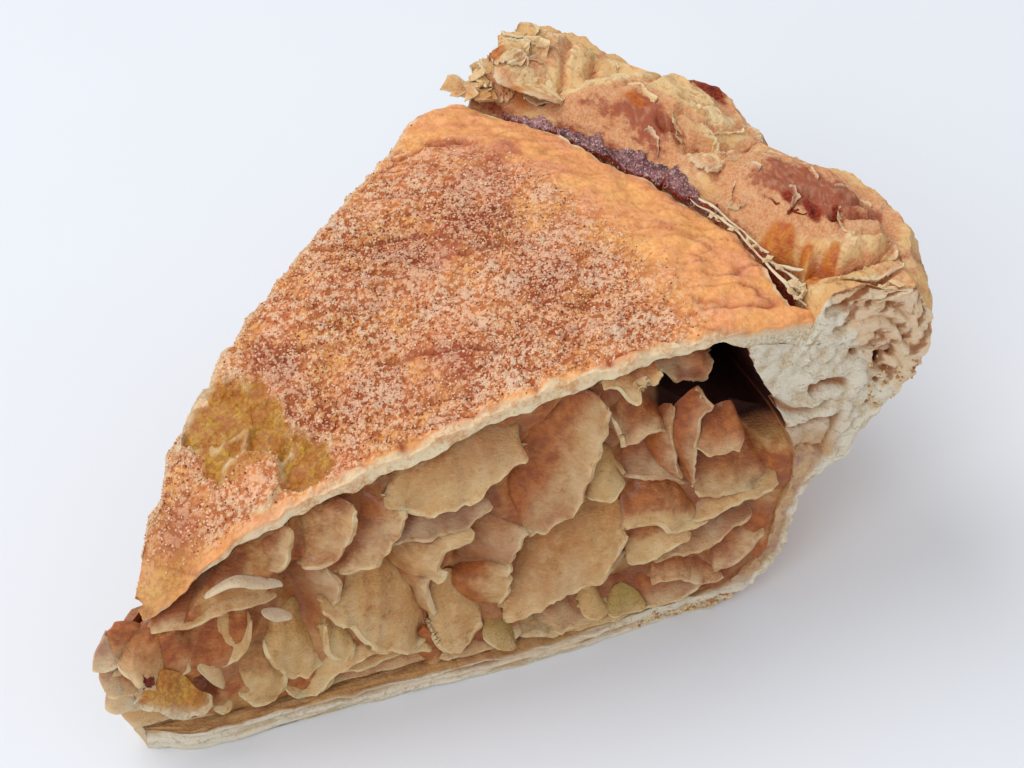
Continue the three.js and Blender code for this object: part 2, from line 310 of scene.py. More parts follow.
class Socket:
    """A node's output. Sums and products of sockets add Math nodes."""

    def __init__(self, nodes, output):
        self.nodes = nodes
        self.output = output

    def __add__(self, other):
        return self.nodes.math("ADD", self, other)

    def __sub__(self, other):
        return self.nodes.math("SUBTRACT", self, other)

    def __rsub__(self, other):
        return self.nodes.math("SUBTRACT", other, self)

    def __mul__(self, other):
        return self.nodes.math("MULTIPLY", self, other)

    __radd__ = __add__
    __rmul__ = __mul__


class Nodes:
    """A node tree to which every node is added by node()."""

    def __init__(self, tree):
        self.tree = tree

    def node(self, kind, settings=None, sockets=None, result=0):
        """Adds a node. Sockets and the result are given by name, or by number where names repeat."""
        made = self.tree.nodes.new(kind)
        for name, value in (settings or {}).items():
            setattr(made, name, value)
        for name, value in (sockets or {}).items():
            inputs = [s for s in made.inputs if s.enabled]
            socket = inputs[name] if isinstance(name, int) else next(s for s in inputs if s.name == name)
            if isinstance(value, Socket):
                self.tree.links.new(value.output, socket)
            else:
                socket.default_value = value
        outputs = [s for s in made.outputs if s.enabled]
        if not outputs:
            return None
        chosen = outputs[result] if isinstance(result, int) else next(s for s in outputs if s.name == result)
        return Socket(self, chosen)

    def math(self, operation, first, second=0.0, clamp=False):
        settings = {"operation": operation, "use_clamp": clamp}
        return self.node("ShaderNodeMath", settings, {0: first, 1: second})


def colour(text):
    """A linear colour from its usual six digits."""
    values = [int(text[i:i + 2], 16) / 255 for i in (0, 2, 4)]
    return [v / 12.92 if v <= 0.04045 else ((v + 0.055) / 1.055) ** 2.4 for v in values] + [1.0]


class Finish(Nodes):
    """A material whose patterns lie on Object coordinates and on its piece's named values."""

    def __init__(self, name):
        self.material = bpy.data.materials.new(name)
        self.material.use_nodes = True
        super().__init__(self.material.node_tree)
        self.tree.nodes.clear()
        self.place = self.node("ShaderNodeTexCoord", result="Object")

    def value(self, name):
        return self.node("ShaderNodeAttribute", {"attribute_name": name}, result="Fac")

    def stretched(self, stretch):
        if stretch is None:
            return self.place
        return self.node("ShaderNodeMapping", {}, {"Vector": self.place, "Scale": stretch})

    def noise(self, size, detail=3.0, roughness=0.55, stretch=None, distortion=0.0):
        """Noise from 0 to 1 with features of a size in millimetres."""
        sockets = {
            "Vector": self.stretched(stretch), "Scale": 1 / (size * MM), "Detail": detail,
            "Roughness": roughness, "Distortion": distortion,
        }
        return self.node("ShaderNodeTexNoise", {}, sockets, "Fac")

    def cells(self, size, feature="F1", stretch=None):
        """Distances in a pattern of cells of a size in millimetres."""
        sockets = {"Vector": self.stretched(stretch), "Scale": 1 / (size * MM)}
        return self.node("ShaderNodeTexVoronoi", {"feature": feature}, sockets, "Distance")

    def between(self, value, low, high):
        """0 below low, 1 above high and smooth between them. low may be the higher."""
        settings = {"interpolation_type": "SMOOTHSTEP"}
        sockets = {"Value": value, "From Min": low, "From Max": high}
        return self.node("ShaderNodeMapRange", settings, sockets)

    def mix(self, share, first, second):
        """A colour between two, each a socket or six digits."""
        first, second = (colour(c) if isinstance(c, str) else c for c in (first, second))
        return self.node("ShaderNodeMix", {"data_type": "RGBA"}, {"Factor": share, "A": first, "B": second})

    def bump(self, height, distance, below=None):
        sockets = {"Height": height, "Distance": distance * MM, "Strength": 1.0}
        if below is not None:
            sockets["Normal"] = below
        return self.node("ShaderNodeBump", {}, sockets)

    def done(self, sockets):
        shader = self.node("ShaderNodeBsdfPrincipled", {"subsurface_method": "RANDOM_WALK"}, sockets)
        self.node("ShaderNodeOutputMaterial", {}, {"Surface": shader})
        return self.material


# Finishes


def sugared_crust():
    """Golden top crust under melted cinnamon sugar, cream at its cut edges, olive where flaked."""
    f = Finish("sugared_crust")
    sugar, toast, edge, crease = f.value("sugar"), f.value("toast"), f.value("edge"), f.value("crease")
    flaked, lip, juice, crumb = f.value("flaked"), f.value("lip"), f.value("juice"), f.value("crumb")
    broad, patchy, clumps = f.noise(9, 4), f.noise(2.6, 5, 0.65), f.noise(3.4, 3)
    crystals, fine, cells = f.noise(0.95, 4, 0.7), f.noise(0.42, 2, 0.6), f.cells(0.8)
    base = f.mix(f.between(broad, 0.35, 0.65), "f8b46a", "ec9a66")
    base = f.mix(f.between(patchy, 0.42, 0.75) * 0.5, base, "d67e4a")
    browned = toast + (patchy - 0.5) * 1.1
    base = f.mix(f.between(browned, 0.3, 1.0) * 0.72, base, "b05840")
    base = f.mix(crease * 0.85, base, "9a3c18")
    grit = crystals + (0.42 - cells) * 0.4 + (fine - 0.5) * 0.35
    base = f.mix(f.between(grit, 0.47, 0.38) * (sugar * 0.8 + 0.16), base, f.mix(toast, "be6434", "943c26"))
    pale = f.between(grit + (clumps - 0.5) * 0.7 + (broad - 0.5) * 0.6, 0.46, 0.58) * (sugar * 0.85 + 0.1)
    base = f.mix(pale, base, f.mix(toast * 0.8, "fbdcbc", "e6aa8c"))
    glassy = f.mix(f.between(patchy, 0.35, 0.65), "be741a", "cf9c3a")
    base = f.mix(flaked, base, f.mix(f.between(grit, 0.5, 0.4) * 0.5, glassy, "a45018"))
    base = f.mix(lip * 0.85, base, "efd3a4")
    base = f.mix(edge, base, f.mix(f.between(patchy + (fine - 0.5) * 0.4, 0.42, 0.72), "ead6b0", "cb9866"))
    base = f.mix(juice, base, "2c120c")
    base = f.mix(crumb, base, f.mix(f.between(fine + (patchy - 0.5) * 0.5, 0.35, 0.65), "bda57f", "ddd2bc"))
    height = grit * (sugar * 0.7 + flaked * 0.5 + 0.2) + patchy * 0.25
    sockets = {
        "Base Color": base, "Roughness": 0.5 + sugar * 0.15 - flaked * 0.15, "Normal": f.bump(height, 1.1),
        "Subsurface Weight": 0.1, "Subsurface Radius": (1.0, 0.5, 0.3), "Subsurface Scale": 0.8 * MM,
        "Coat Weight": f.between(sugar, 0.5, 0.0) * 0.1 + flaked * 0.2, "Coat Roughness": 0.3,
        "Specular IOR Level": 0.25,
    }
    return f.done(sockets)


def baked_pastry():
    """Flaky pastry: buff and cream skin, golden to dark where baked hard, dark too where shade is painted,
    white crumb where cut.
    """
    f = Finish("baked_pastry")
    toast, burnt, glaze = f.value("toast"), f.value("burnt"), f.value("glaze")
    crumb, stain, layer, creamy = f.value("crumb"), f.value("stain"), f.value("layer"), f.value("creamy")
    broad, patchy, fine = f.noise(6, 4), f.noise(1.8, 5, 0.68), f.noise(0.4, 3, 0.65)
    streaks = f.noise(1.3, 5, 0.65, (1.0, 0.4, 2.0), 0.6)
    base = f.mix(f.between(broad, 0.35, 0.7), "dcaa6c", "e8c088")
    base = f.mix(f.between(streaks, 0.52, 0.66) * 0.5, base, "c07838")
    base = f.mix(creamy, base, f.mix(f.between(streaks, 0.5, 0.64), "ebcd9c", "cc965a"))
    browned = toast + (patchy - 0.5) * 0.9 + (streaks - 0.5) * 0.5 + (fine - 0.5) * 0.3
    toasted = f.mix(f.between(fine, 0.4, 0.6), "ca7a50", "dba57a")
    base = f.mix(f.between(browned, 0.35, 0.6) * 0.8, base, toasted)
    base = f.mix(f.between(browned, 0.9, 1.15) * 0.85, base, "9a4630")
    base = f.mix(layer * f.between(crumb, 1.0, 0.0) * 0.7, base, "f3e2bd")
    baked_orange = f.mix(f.between(patchy, 0.4, 0.6), "b44c06", "cc7a26")
    base = f.mix(f.between(glaze + (patchy - 0.5) * 0.6, 0.3, 0.75) * 0.9, base, baked_orange)
    # The burnt value also carries painted shade on the inner wall by the hollow and in the creases of the cut
    # faces, and it darkens their pits.
    charred = burnt + (patchy - 0.5) * 0.7 + (streaks - 0.5) * 0.3
    base = f.mix(f.between(charred, 0.3, 0.75), base, f.mix(f.between(fine, 0.4, 0.6), "741c08", "983c1e"))
    base = f.mix(f.between(charred + (fine - 0.5) * 0.4, 0.9, 1.2), base, "34110c")
    base = f.mix(f.between(fine, 0.6, 0.72) * 0.35, base, "8c4a26")
    crumbly = layer * 0.6 + fine * 0.6 + patchy * 0.5
    white = f.mix(f.between(crumbly, 0.5, 0.95), "c8ac84", "e6dbc6")
    white = f.mix(f.between(streaks + (fine - 0.5) * 0.3, 0.57, 0.64) * 0.5, white, "a8845a")
    rolled = f.mix(f.between(layer + (fine - 0.5) * 0.5, 0.3, 0.58), "a86c42", "e8c8a2")
    cut_face = f.mix(f.between(browned, 0.35, 1.1), white, rolled)
    cut_face = f.mix(f.between(burnt + (fine - 0.5) * 0.3, 0.1, 0.5) * 0.8, cut_face, "a0622f")
    cut_face = f.mix(f.between(burnt + (fine - 0.5) * 0.5, 0.6, 1.1), cut_face, "511a12")
    base = f.mix(crumb, base, cut_face)
    soaked = f.mix(f.between(patchy + (broad - 0.5) * 0.5, 0.35, 0.7), "cb9f6c", "a2674a")
    base = f.mix(stain, base, soaked)
    height = patchy * 0.3 + fine * 0.16 + streaks * 0.24
    sockets = {
        "Base Color": base, "Roughness": 0.62 - glaze * 0.32 - stain * 0.25, "Normal": f.bump(height, 1.3),
        "Subsurface Weight": 0.12, "Subsurface Radius": (1.0, 0.6, 0.35), "Subsurface Scale": 1.0 * MM,
        "Coat Weight": f.between(glaze + stain, 0.1, 1.0) * 0.2, "Coat Roughness": 0.22,
        "Specular IOR Level": 0.2,
    }
    return f.done(sockets)


def cooked_apple():
    """Soft cooked apple: beige to pinkish tan, pale at thin edges, with painted shade in recesses and in the
    hollow.
    """
    f = Finish("cooked_apple")
    tone, edge, glaze, recess = f.value("tone"), f.value("edge"), f.value("glaze"), f.value("recess")
    pink, green, white = f.value("pink"), f.value("green"), f.value("white")
    cloudy, mottled, fine = f.noise(6, 3, 0.5), f.noise(1.7, 5, 0.65), f.noise(0.4, 3, 0.65)
    fibres = f.noise(1.0, 4, 0.65, (1.0, 1.0, 2.6), 0.8)
    base = f.mix(tone, "d7a76b", "bb7e48")
    base = f.mix(f.between(cloudy, 0.35, 0.65) * 0.6, base, "d09650")
    base = f.mix(f.between(mottled, 0.5, 0.35) * 0.5, base, "dfb782")
    base = f.mix(pink * 0.85, base, f.mix(f.between(cloudy, 0.35, 0.65), "aa6448", "884836"))
    browned = glaze + (cloudy - 0.5) * 1.2 + (mottled - 0.5) * 0.7
    glazed = f.mix(f.between(mottled, 0.4, 0.6), "bb6424", "9c461a")
    base = f.mix(f.between(browned, 0.3, 0.95) * 0.85, base, glazed)
    base = f.mix(green, base, "a8923e")
    base = f.mix(f.between(mottled, 0.58, 0.74) * 0.35, base, "8a4b2a")
    base = f.mix(f.between(fibres, 0.54, 0.68) * 0.22, base, "a0602e")
    base = f.mix(edge * 0.9, base, f.mix(f.between(mottled, 0.5, 0.7), "f4daaa", "d8aa70"))
    # Painted shade: darker where a point lies behind what is around it, and near-black in the hollow.
    base = f.mix(f.between(recess + (cloudy - 0.5) * 0.6, 0.4, 1.0) * 0.6, base, "9c5638")
    hollow = f.between(recess, 1.05, 1.5)
    base = f.mix(hollow, base, "3c1a12")
    base = f.mix(white, base, "f0e3cc")
    base = f.mix(f.between(fine, 0.64, 0.72) * 0.45, base, "743c22")
    height = mottled * 0.42 + cloudy * 0.35 + fine * 0.16 + fibres * 0.4
    sockets = {
        "Base Color": base, "Roughness": 0.28 + mottled * 0.25 + hollow * 0.4, "Normal": f.bump(height, 1.0),
        "Specular IOR Level": 0.25, "Subsurface Weight": 0.35, "Subsurface Radius": (1.0, 0.55, 0.25),
        "Subsurface Scale": 1.5 * MM, "Coat Weight": 0.22 - hollow * 0.22, "Coat Roughness": 0.12,
    }
    return f.done(sockets)


def burnt_juice():
    """Juice that boiled up through the crack: purple-brown and sparkling, red amber at its edge."""
    f = Finish("burnt_juice")
    amber = f.value("amber")
    grain, patchy, broad = f.noise(0.5, 3, 0.7), f.noise(1.8, 3), f.noise(9, 2)
    base = f.mix(f.between(patchy, 0.35, 0.7), "7c4a50", "bc8886")
    base = f.mix(f.between(broad, 0.52, 0.4) * 0.7, base, "4a2628")
    base = f.mix(f.between(grain, 0.54, 0.64), base, "dfbcb6")
    base = f.mix(f.between(grain, 0.42, 0.34), base, "3a171b")
    base = f.mix(f.between(amber + (patchy - 0.5) * 0.8, 0.35, 0.6), base, "8a2a0e")
    height = grain * 0.5 + patchy * 0.2
    sockets = {
        "Base Color": base, "Roughness": 0.5 - amber * 0.35, "Normal": f.bump(height, 1.0),
        "Subsurface Weight": 0.1, "Subsurface Radius": (1.0, 0.3, 0.2), "Subsurface Scale": 1 * MM,
        "Coat Weight": f.between(amber, 0.2, 0.8), "Coat Roughness": 0.12,
    }
    return f.done(sockets)


def grain_finish(name, first, second, roughness, size=0.9):
    """Grains and crumbs in two colours that change from grain to grain."""
    f = Finish(name)
    base = f.mix(f.between(f.noise(size, 1), 0.4, 0.6), first, second)
    sockets = {
        "Base Color": base, "Roughness": roughness, "Normal": f.bump(f.noise(0.25, 2), 0.15),
        "Subsurface Weight": 0.15, "Subsurface Radius": (1.0, 0.7, 0.5), "Subsurface Scale": 0.5 * MM,
    }
    return f.done(sockets)


# Bottom crust


def lobe_height(radius, angle):
    """How far the rolled rim rises or sinks: swollen lobes between sharp slanted creases."""
    slanted = angle + CREASE_SLANT * (radius - RIM["middle"]) / RIM["half_width"]
    nearest = np.min([np.abs(slanted - crease) for crease in CREASES["angles"]], axis=0)
    in_crease = bell(nearest, CREASES["width"])
    on_lobe = smoothstep(nearest, 0, 3 * CREASES["width"])
    return LOBE["swell"] * on_lobe - CREASES["depth"] * in_crease, in_crease


# Folds of the rolled dough on the rim: places as (radius, degrees), the depth and the width
FOLDS = [
    ([(103.5, 4.2), (107.3, 0.4), (110, -0.9), (114, -1.8), (119, -1.2)], 1.8, 0.9),
    ([(106, 3.6), (109.6, 1.4), (113, 0.2), (119, 0.8)], 0.9, 0.6),
    ([(108, 4.6), (111.5, 2.8), (115, 2.2), (119, 2.8)], 0.7, 0.5),
    ([(101, -4.4), (103.6, -3.4), (108, -3.8), (113, -4.6), (117.5, -4.2)], 0.9, 0.6),
    ([(103.5, -17.6), (106.1, -18.9), (109, -18.9), (112.5, -19.2), (119, -18.6)], 1.9, 0.8),
    ([(104, -20.3), (108, -20.4), (112, -20.7), (118, -20.2)], 0.8, 0.45),
    ([(104.5, -21.3), (109, -21.5), (114, -21.8), (118, -21.4)], 0.7, 0.4),
    ([(107, -14.6), (110.5, -15.6), (114, -15.4), (117, -13.4)], 0.9, 0.5),
    ([(109, -16.9), (112, -17.4), (116, -16.6)], 0.6, 0.4),
    ([(105, -11.2), (108.5, -13), (111.5, -14), (115, -13.6)], 0.9, 0.7),
    ([(108, 12.8), (110.5, 14.2), (114, 14.8), (119, 15.4)], 1.3, 0.8),
    ([(104, 10), (108, 8.4), (113, 8.6), (118, 9.6)], 0.9, 0.6),
    ([(103, 19.2), (107, 18.4), (111, 18.8), (116, 19.6)], 1.1, 0.6),
    ([(101.5, 15.6), (105, 15.2), (108.5, 16.6), (112, 17)], 0.9, 0.5),
]
# Places worked out along a groove for each point of its line
GROOVE_STEPS = 24


def grooves(place, folds):
    """The depth of grooves along rows of flat places, and the height of the lips beside them."""
    sunk, raised = 0, 0
    for folded, depth, width in folds:
        line = spline(folded, evenly(GROOVE_STEPS * len(folded)))
        distance = np.min([np.hypot(*(place - point).T) for point in line], axis=0)
        raised = raised + 0.35 * depth * bell(distance - 2.4 * width, 1.4 * width)
        sunk = sunk + depth * bell(distance, width)
    return sunk, raised


def rim_folds(radius, angle, wavy):
    """The folds' grooves and lips on the unrolled rim."""
    turn = RIM["middle"] * np.radians(1)
    unrolled = [([(r, turn * degrees) for r, degrees in line], depth, width) for line, depth, width in FOLDS]
    return grooves(stacked(radius, RIM["middle"] * angle) + 0.6 * wavy[:, None], unrolled)


def crack_hole(radius, angle):
    across = (radius - CRACK_HOLE["radius"]) / CRACK_HOLE["width"]
    along = CRACK_HOLE["radius"] * (angle - CRACK_HOLE["angle"]) / CRACK_HOLE["length"]
    return fading(np.hypot(across, along), 0.4, 1)


BASE_LEDGE = 2.6


def base_ledge(radius, v, height):
    """How far the base stands out from under the filling at the near cut face."""
    along = smoothstep(radius, 1, 8) * fading(radius, 55, 85)
    return BASE_LEDGE * along * fading(v, 0, 0.2) * fading(height, 3.4, 5)


# Pits of the cut faces: radius, height, depth and width
PITS = [
    (107.4, 45.5, 1.0, 1.8), (109.2, 45.4, 0.6, 1.2), (111.8, 44.5, 1.7, 2.8), (114.2, 45.8, 1.2, 1.7),
    (110.6, 39.8, 1.1, 1.5), (109.4, 36, 1.1, 1.4), (103.4, 41, 0.8, 1.0), (99.9, 41.4, 0.7, 1.0),
    (113.6, 42.6, 0.6, 0.9), (105, 47.8, 0.5, 0.7), (103.4, 45, 0.4, 0.6), (110.6, 48.6, 0.5, 0.8),
    (116.4, 47.6, 0.5, 0.8),
]
# Creases of the cut faces: places as (radius, height), the depth and the width
CUT_FOLDS = [
    ([(93.8, 40.4), (97.4, 37.3), (100.7, 37.4), (102.6, 38.2)], 1.2, 0.7),
    ([(95.5, 34.1), (99.8, 34.6), (104.1, 35)], 1.1, 0.6),
    ([(98.8, 30.1), (100.1, 30.3), (102.8, 29.2)], 0.9, 0.5),
    ([(104.3, 35.3), (103.9, 32.9), (102.8, 30)], 1.2, 0.6),
    ([(100.3, 40.4), (102.8, 41.4), (105.3, 40.8)], 1.5, 0.8),
    ([(101, 53.2), (105, 54.6), (110, 54.2), (115, 51.4)], 0.6, 0.4),
    ([(103, 50), (108.5, 51.7), (113, 50.2), (116.4, 47)], 0.6, 0.4),
    ([(106, 48.4), (110, 49), (113.6, 47), (115.4, 44)], 0.5, 0.4),
    ([(6, 2.4), (16, 2.1), (26, 2.3), (36, 1.8), (46, 2.2), (56, 1.9), (66, 2.2)], 0.6, 0.35),
    ([(24, 1.1), (34, 0.9), (44, 1.3), (54, 1), (64, 1.4), (74, 1.2), (84, 2)], 0.5, 0.3),
]


def cut_crumb(section, side, u, w):
    """Creases, pits, layers and relief of a cut through the pastry. It is rolled up towards its skin."""
    radius, height = section.T
    flat = stacked(radius, height, 20.0 * side)
    leaning = stacked(radius - height, 0.3 * (radius + height), 9.0 * side)
    lying = stacked(0.14 * radius, 1.9 * height, 9.0 * side)
    wrapped = stacked(20 * u, 14 * w, 9.0 * side)
    rolled = smoothstep(radius + 0.55 * (height - 45), 103, 108)
    in_base = fading(height - 0.5 * np.maximum(radius - 88, 0), 3.5, 7)
    creases, lips = grooves(section, CUT_FOLDS)
    pits = sum(depth * np.exp(-((radius - r) ** 2 + (height - z) ** 2) / (0.5 * width) ** 2)
               for r, z, depth, width in PITS)
    layers = lerp(noise(leaning, 1.5), 1.5 * fractal(lying, 1.6, 2), in_base)
    layers = lerp(layers, 1.3 * fractal(wrapped, 1.3, 3), rolled)
    crumb = (0.28 + 0.15 * rolled) * layers + 0.42 * fractal(flat, 1.6, 4)
    relief = crumb + lips - 0.9 * creases - 1.5 * pits
    return creases, pits, layers, relief


def section_steps(*spans):
    """Shares along the crust's section, as spans given by its points: from, to and number of steps."""
    steps = [np.linspace(start, end, count + 1) for start, end, count in spans]
    return np.unique(np.concatenate(steps)) / (len(CRUST_UNDERSIDE) - 1)


def unrolled_crust(radius, angle, height):
    """Places on the crust as if it were rolled out flat, so that patterns run around it unbroken."""
    return stacked(radius, 100 * angle, height)


def baked_skin(unrolled, rough):
    """Relief of the baked skin, rough, peeled, wrinkled and fanned, and its peeled layers alone."""
    peeled = terraces(unrolled, 6, 3.1, sharpness=0.22)
    wrinkles = np.abs(noise(unrolled * [1.6, 0.7, 1.6], 3.4, 5.2))
    fanned = np.abs(noise(unrolled * [0.45, 1.5, 0.45], 2.0, 3.7))
    return 0.4 * rough + 0.75 * peeled - 0.4 * wrinkles - 0.3 * fanned, peeled


def crumb_cover(radius, height):
    """How thick crumbs lie on the near cut: by the foot, and a few under the rim."""
    by_foot = smoothstep(radius, 72, 79) * fading(radius, 90, 94)
    by_foot = by_foot * smoothstep(height, 0.5, 0.8) * fading(height, 1.5, 3)
    under_rim = smoothstep(height, 33, 36) * fading(height, 43, 46) * smoothstep(radius, 107, 110)
    return np.maximum(by_foot, 0.2 * under_rim)


def crust_part(steps, around, through):
    """A part of the bottom crust: steps of its section, and how fine it is around and through."""
    grid, faces = closed_box(steps, crowded(around), evenly(through))
    u, v, w = grid.T
    section = lerp(spline(CRUST_UNDERSIDE, u), spline(CRUST_INSIDE, u), w[:, None])
    surface = np.abs(2 * w - 1)
    inside = np.where(w > 0.5, surface, 0)
    radius, height = section.T
    on_rim = smoothstep(radius, RIM["inner"], RIM["full"]) * smoothstep(height, RIM["foot"], RIM["top"])
    angle = HALF_ANGLE * (2 * v - 1)
    unrolled = unrolled_crust(radius, angle, height)
    rough = fractal(unrolled, 3.2, 4)
    torn = on_rim * smoothstep(v, 0.9, 1) * (0.5 + 0.5 * rough)
    angle = angle - np.radians(1.6) * torn
    lobe, in_crease = lobe_height(radius, angle)
    swell = on_rim * surface * lobe
    skin, peeled = baked_skin(unrolled, rough)
    sunk, raised = rim_folds(radius, angle, rough)
    reach = on_rim * value_at(RIM_REACH, np.degrees(angle), 2.0)
    outer_skin = np.where(w < 0.5, 0.8, 0.0) * smoothstep(height, 2, 10) * surface
    outer_skin = outer_skin * (skin + 0.4 * noise(unrolled, 13, 4.4))
    hole = inside * smoothstep(height, 44, 49) * crack_hole(radius, angle)
    top_skin = on_rim * surface * (skin * (1 - in_crease) + np.where(w > 0.4, raised - sunk, 0))
    inner_skin = inside * fading(height, 5, 12) * 0.35 * fractal(unrolled, 2.4, 3, 6.1)
    placed = slice_point(
        radius + reach + LOBE["outward"] * swell + outer_skin,
        angle,
        np.maximum(height + LOBE["upward"] * swell + top_skin + inner_skin - CRACK_HOLE["depth"] * hole, 0),
    )
    side = np.where(v > 0.5, FAR, NEAR)
    creases, pits, layers, cut_relief = cut_crumb(section, side, u, w)
    cut = (v == 0) | (v == 1)
    placed[:, 1] += np.where(cut, side * cut_relief, 0) - base_ledge(radius, v, height)
    looks = pastry_looks(radius, angle, height, np.where(cut | (u == 0), 1.0, 0.0), w, sunk * on_rim)
    # Painted shade: the creases of the cut faces are browned and darkened. Their pits are darkened by their
    # depth.
    looks["toast"] = looks["toast"] + np.where(cut, 0.7 * creases + 0.6 * smoothstep(w, 0.8, 1) * on_rim, 0)
    pitted = 1.3 * smoothstep(pits, 0.3, 1.3) + 0.4 * creases
    looks["burnt"] = looks["burnt"] + 0.9 * hole + np.where(cut, pitted, 0)
    peeled_edges = 0.25 * on_rim * bell((peeled * 4) % 1 - 0.5, 0.22)
    looks["layer"] = np.where(cut, 0.5 + 0.5 * layers, peeled_edges)
    crumbs = np.where(cut & (v < 0.5), crumb_cover(radius, height), 0)
    return Form(placed, faces, crumbs=crumbs, **looks)


# Coloured places on the rim: radius, degrees, reach across, reach along and strength
TOASTED = [
    (105.5, -8.5, 6, 8, 0.95), (107.5, -12.6, 4, 6, 0.8), (102, 4.6, 3.4, 9, 0.9), (100.6, 12, 2, 8, 0.6),
    (116, 5, 1.4, 8, 0.6), (108, 18, 3, 3, 0.5), (114, -15, 2.5, 5, 0.6), (112, -20.8, 3, 2, 0.5),
    (100, 20, 2.5, 3, 0.7), (114, -9, 2, 9, 0.6), (104, 7, 2, 3, 0.5), (111, -13.5, 4, 5, 0.5),
]
BURNT = [
    (103.6, -11, 0.9, 2.2, 0.9), (105, -13.2, 1.1, 2.6, 1.1), (107.6, -14.8, 0.9, 2, 1.0),
    (113.4, 5.8, 1.0, 4, 1.1), (116.4, 5.2, 0.9, 4.5, 1.1), (117, 10, 1.2, 4, 1.2), (107, -9, 1.0, 1.6, 0.5),
]
GLAZED = [
    (100.4, -13.6, 1.5, 3.2, 1.2), (102.6, -16.2, 1.2, 1.8, 0.9), (106, -17.7, 1.2, 2, 0.9),
    (103, 7.6, 1.2, 3.4, 0.9), (104.8, 21.2, 2, 1.6, 1.0), (100.6, 17.6, 1.4, 2.4, 0.7),
    (103, -18.8, 1.6, 2, 0.9),
]
CREAMY = [
    (109.2, 17, 3.4, 3, 1.1), (107.6, 10.4, 4.5, 5, 1.1), (102.6, -2.4, 2.4, 2, 1.1), (112, 1.6, 4, 3, 0.6),
    (110.5, 3.6, 4, 5.5, 0.9), (113.6, 1, 3, 3, 0.8), (105.5, 0.4, 2.6, 2, 0.7), (106.4, -2.9, 3.4, 1.8, 1.0),
    (108.6, -2.2, 5, 1.6, 1.0), (109.6, -17, 3.4, 2.6, 1.0), (112, -20.9, 2.6, 1.6, 0.7),
    (103.4, 13.6, 2, 2.4, 0.7),
]


def coloured(places, radius, angle):
    return sum(strength * spot(radius, angle, *place) for *place, strength in places)


def pastry_looks(radius, angle, height, cut, w, folded):
    """Where the pastry is toasted, burnt, glazed, creamy, cut or stained by juice, and where shade is painted
    on the inner wall by the hollow.
    """
    skin = 1 - cut
    on_top = skin * smoothstep(height, 44, 52) * smoothstep(radius, 97, 99)
    outside = skin * np.where(w < 0.5, 1, 0)
    cut_tan = smoothstep(radius + 0.55 * (height - 45), 105.5, 110.5)
    in_slot = on_top * fading(radius, 98.4, 100.4)
    base_tan = (0.1 + 0.38 * smoothstep(radius, 15, 60)) * fading(height, 3, 8)
    toast = on_top * (0.28 + coloured(TOASTED, radius, angle) + 0.35 * folded)
    toast = toast + cut * (0.9 * cut_tan + base_tan)
    inner_wall = skin * np.where((w > 0.8) & (height < 50.2), 1, 0)
    juicy = inner_wall * np.where((radius > 88.5) & (height > 5), 0.95, 0.6) * fading(height, 30, 36)
    inner_wall = inner_wall * fading(height, 51, 52)
    soaked_cut = cut * smoothstep(w, 0.2, 0.5) * smoothstep(height, 3, 6) * fading(height, 30, 37)
    # Painted shade: the inner wall by the hollow is made dark through the burnt value.
    hollow_shade = inner_wall * smoothstep(height, 30, 37)
    patches = 0.42 + 0.32 * fractal(unrolled_crust(radius, angle, height), 12, 3, 3.3)
    return {
        "toast": toast + outside * patches * (1 - on_top),
        "burnt": on_top * (coloured(BURNT, radius, angle) + 0.5 * np.clip(folded - 0.5, 0, 1))
        + 0.7 * in_slot + 1.4 * hollow_shade,
        "glaze": on_top * (coloured(GLAZED, radius, angle) + 0.25 * folded) + 0.4 * in_slot,
        "creamy": np.clip(on_top * coloured(CREAMY, radius, angle) - folded, 0, 1),
        "stain": np.maximum(juicy, 0.85 * soaked_cut),
        "crumb": cut,
    }


# Top crust


def lid_height(radius, angle):
    share = np.clip(0.5 + 0.5 * angle / HALF_ANGLE, 0, 1)
    near = value_at(NEAR_EDGE_HEIGHTS, radius, 2.5)
    far = value_at(FAR_EDGE_HEIGHTS, radius, 2.5)
    rise = smoothstep(radius, CROWN["start"], CROWN["full"])
    rise = rise * fading(radius, CROWN["fall"], CROWN["end"])
    return lerp(near, far, smoothstep(share, 0, 1)) + CROWN["height"] * 4 * share * (1 - share) * rise


def lid_thickness(radius):
    return LID["thickness"] * lerp(LID["tip_swell"], 1, smoothstep(radius, DROOP["end"], DROOP["flat"]))


# Flaked spots of the top crust: radius, degrees, reach and depth
FLAKED_SPOTS = [(25, 8, 7.5, 0.8), (25, 18.5, 5.5, 0.7), (29.3, -12, 4.6, 0.8), (27, -3, 3.4, 0.6)]
# A round flake that stands up between them: radius, degrees and reach
RAISED_FLAKE = (23, -8.5, 4.2)
FLAKE_LIP_WIDTH = 0.35
# Fine cracks in the top crust, as rows of (radius, degrees), with their depth and width
LID_CRACKS = [
    [(53, 20.5), (54.8, 17.4), (57.1, 14.8), (61.4, 11.8), (63.2, 9.7), (64.3, 7.1)],
    [(63.7, 3.6), (66.4, 2.4), (69.2, 1.1), (71.4, -0.3), (72.8, -2.1)],
    [(44.1, -3.7), (48.4, -6.5), (52.3, -9), (56.1, -11.8), (58.3, -13.9)],
    [(76.3, 22), (75.5, 20.6), (78, 19.8), (81.2, 18.7), (85.4, 16.9)],
]
LID_CRACK_SIZE = (0.6, 0.32)
# Redder patches of the top crust: radius, degrees, reach across and reach along
REDDER_PATCHES = [
    (81.5, 13, 9, 9), (57, 9, 9, 7), (51, -12, 8, 8), (33, 12, 5, 5), (69, -9, 7, 9), (35, -8, 6, 5),
    (13, 0, 5, 4), (70, 5, 8, 6),
]
# The teeth that the top crust is torn into at the far cut face, up to a radius
TEETH = {"end_radius": 62, "number": 9, "length": 1.5}


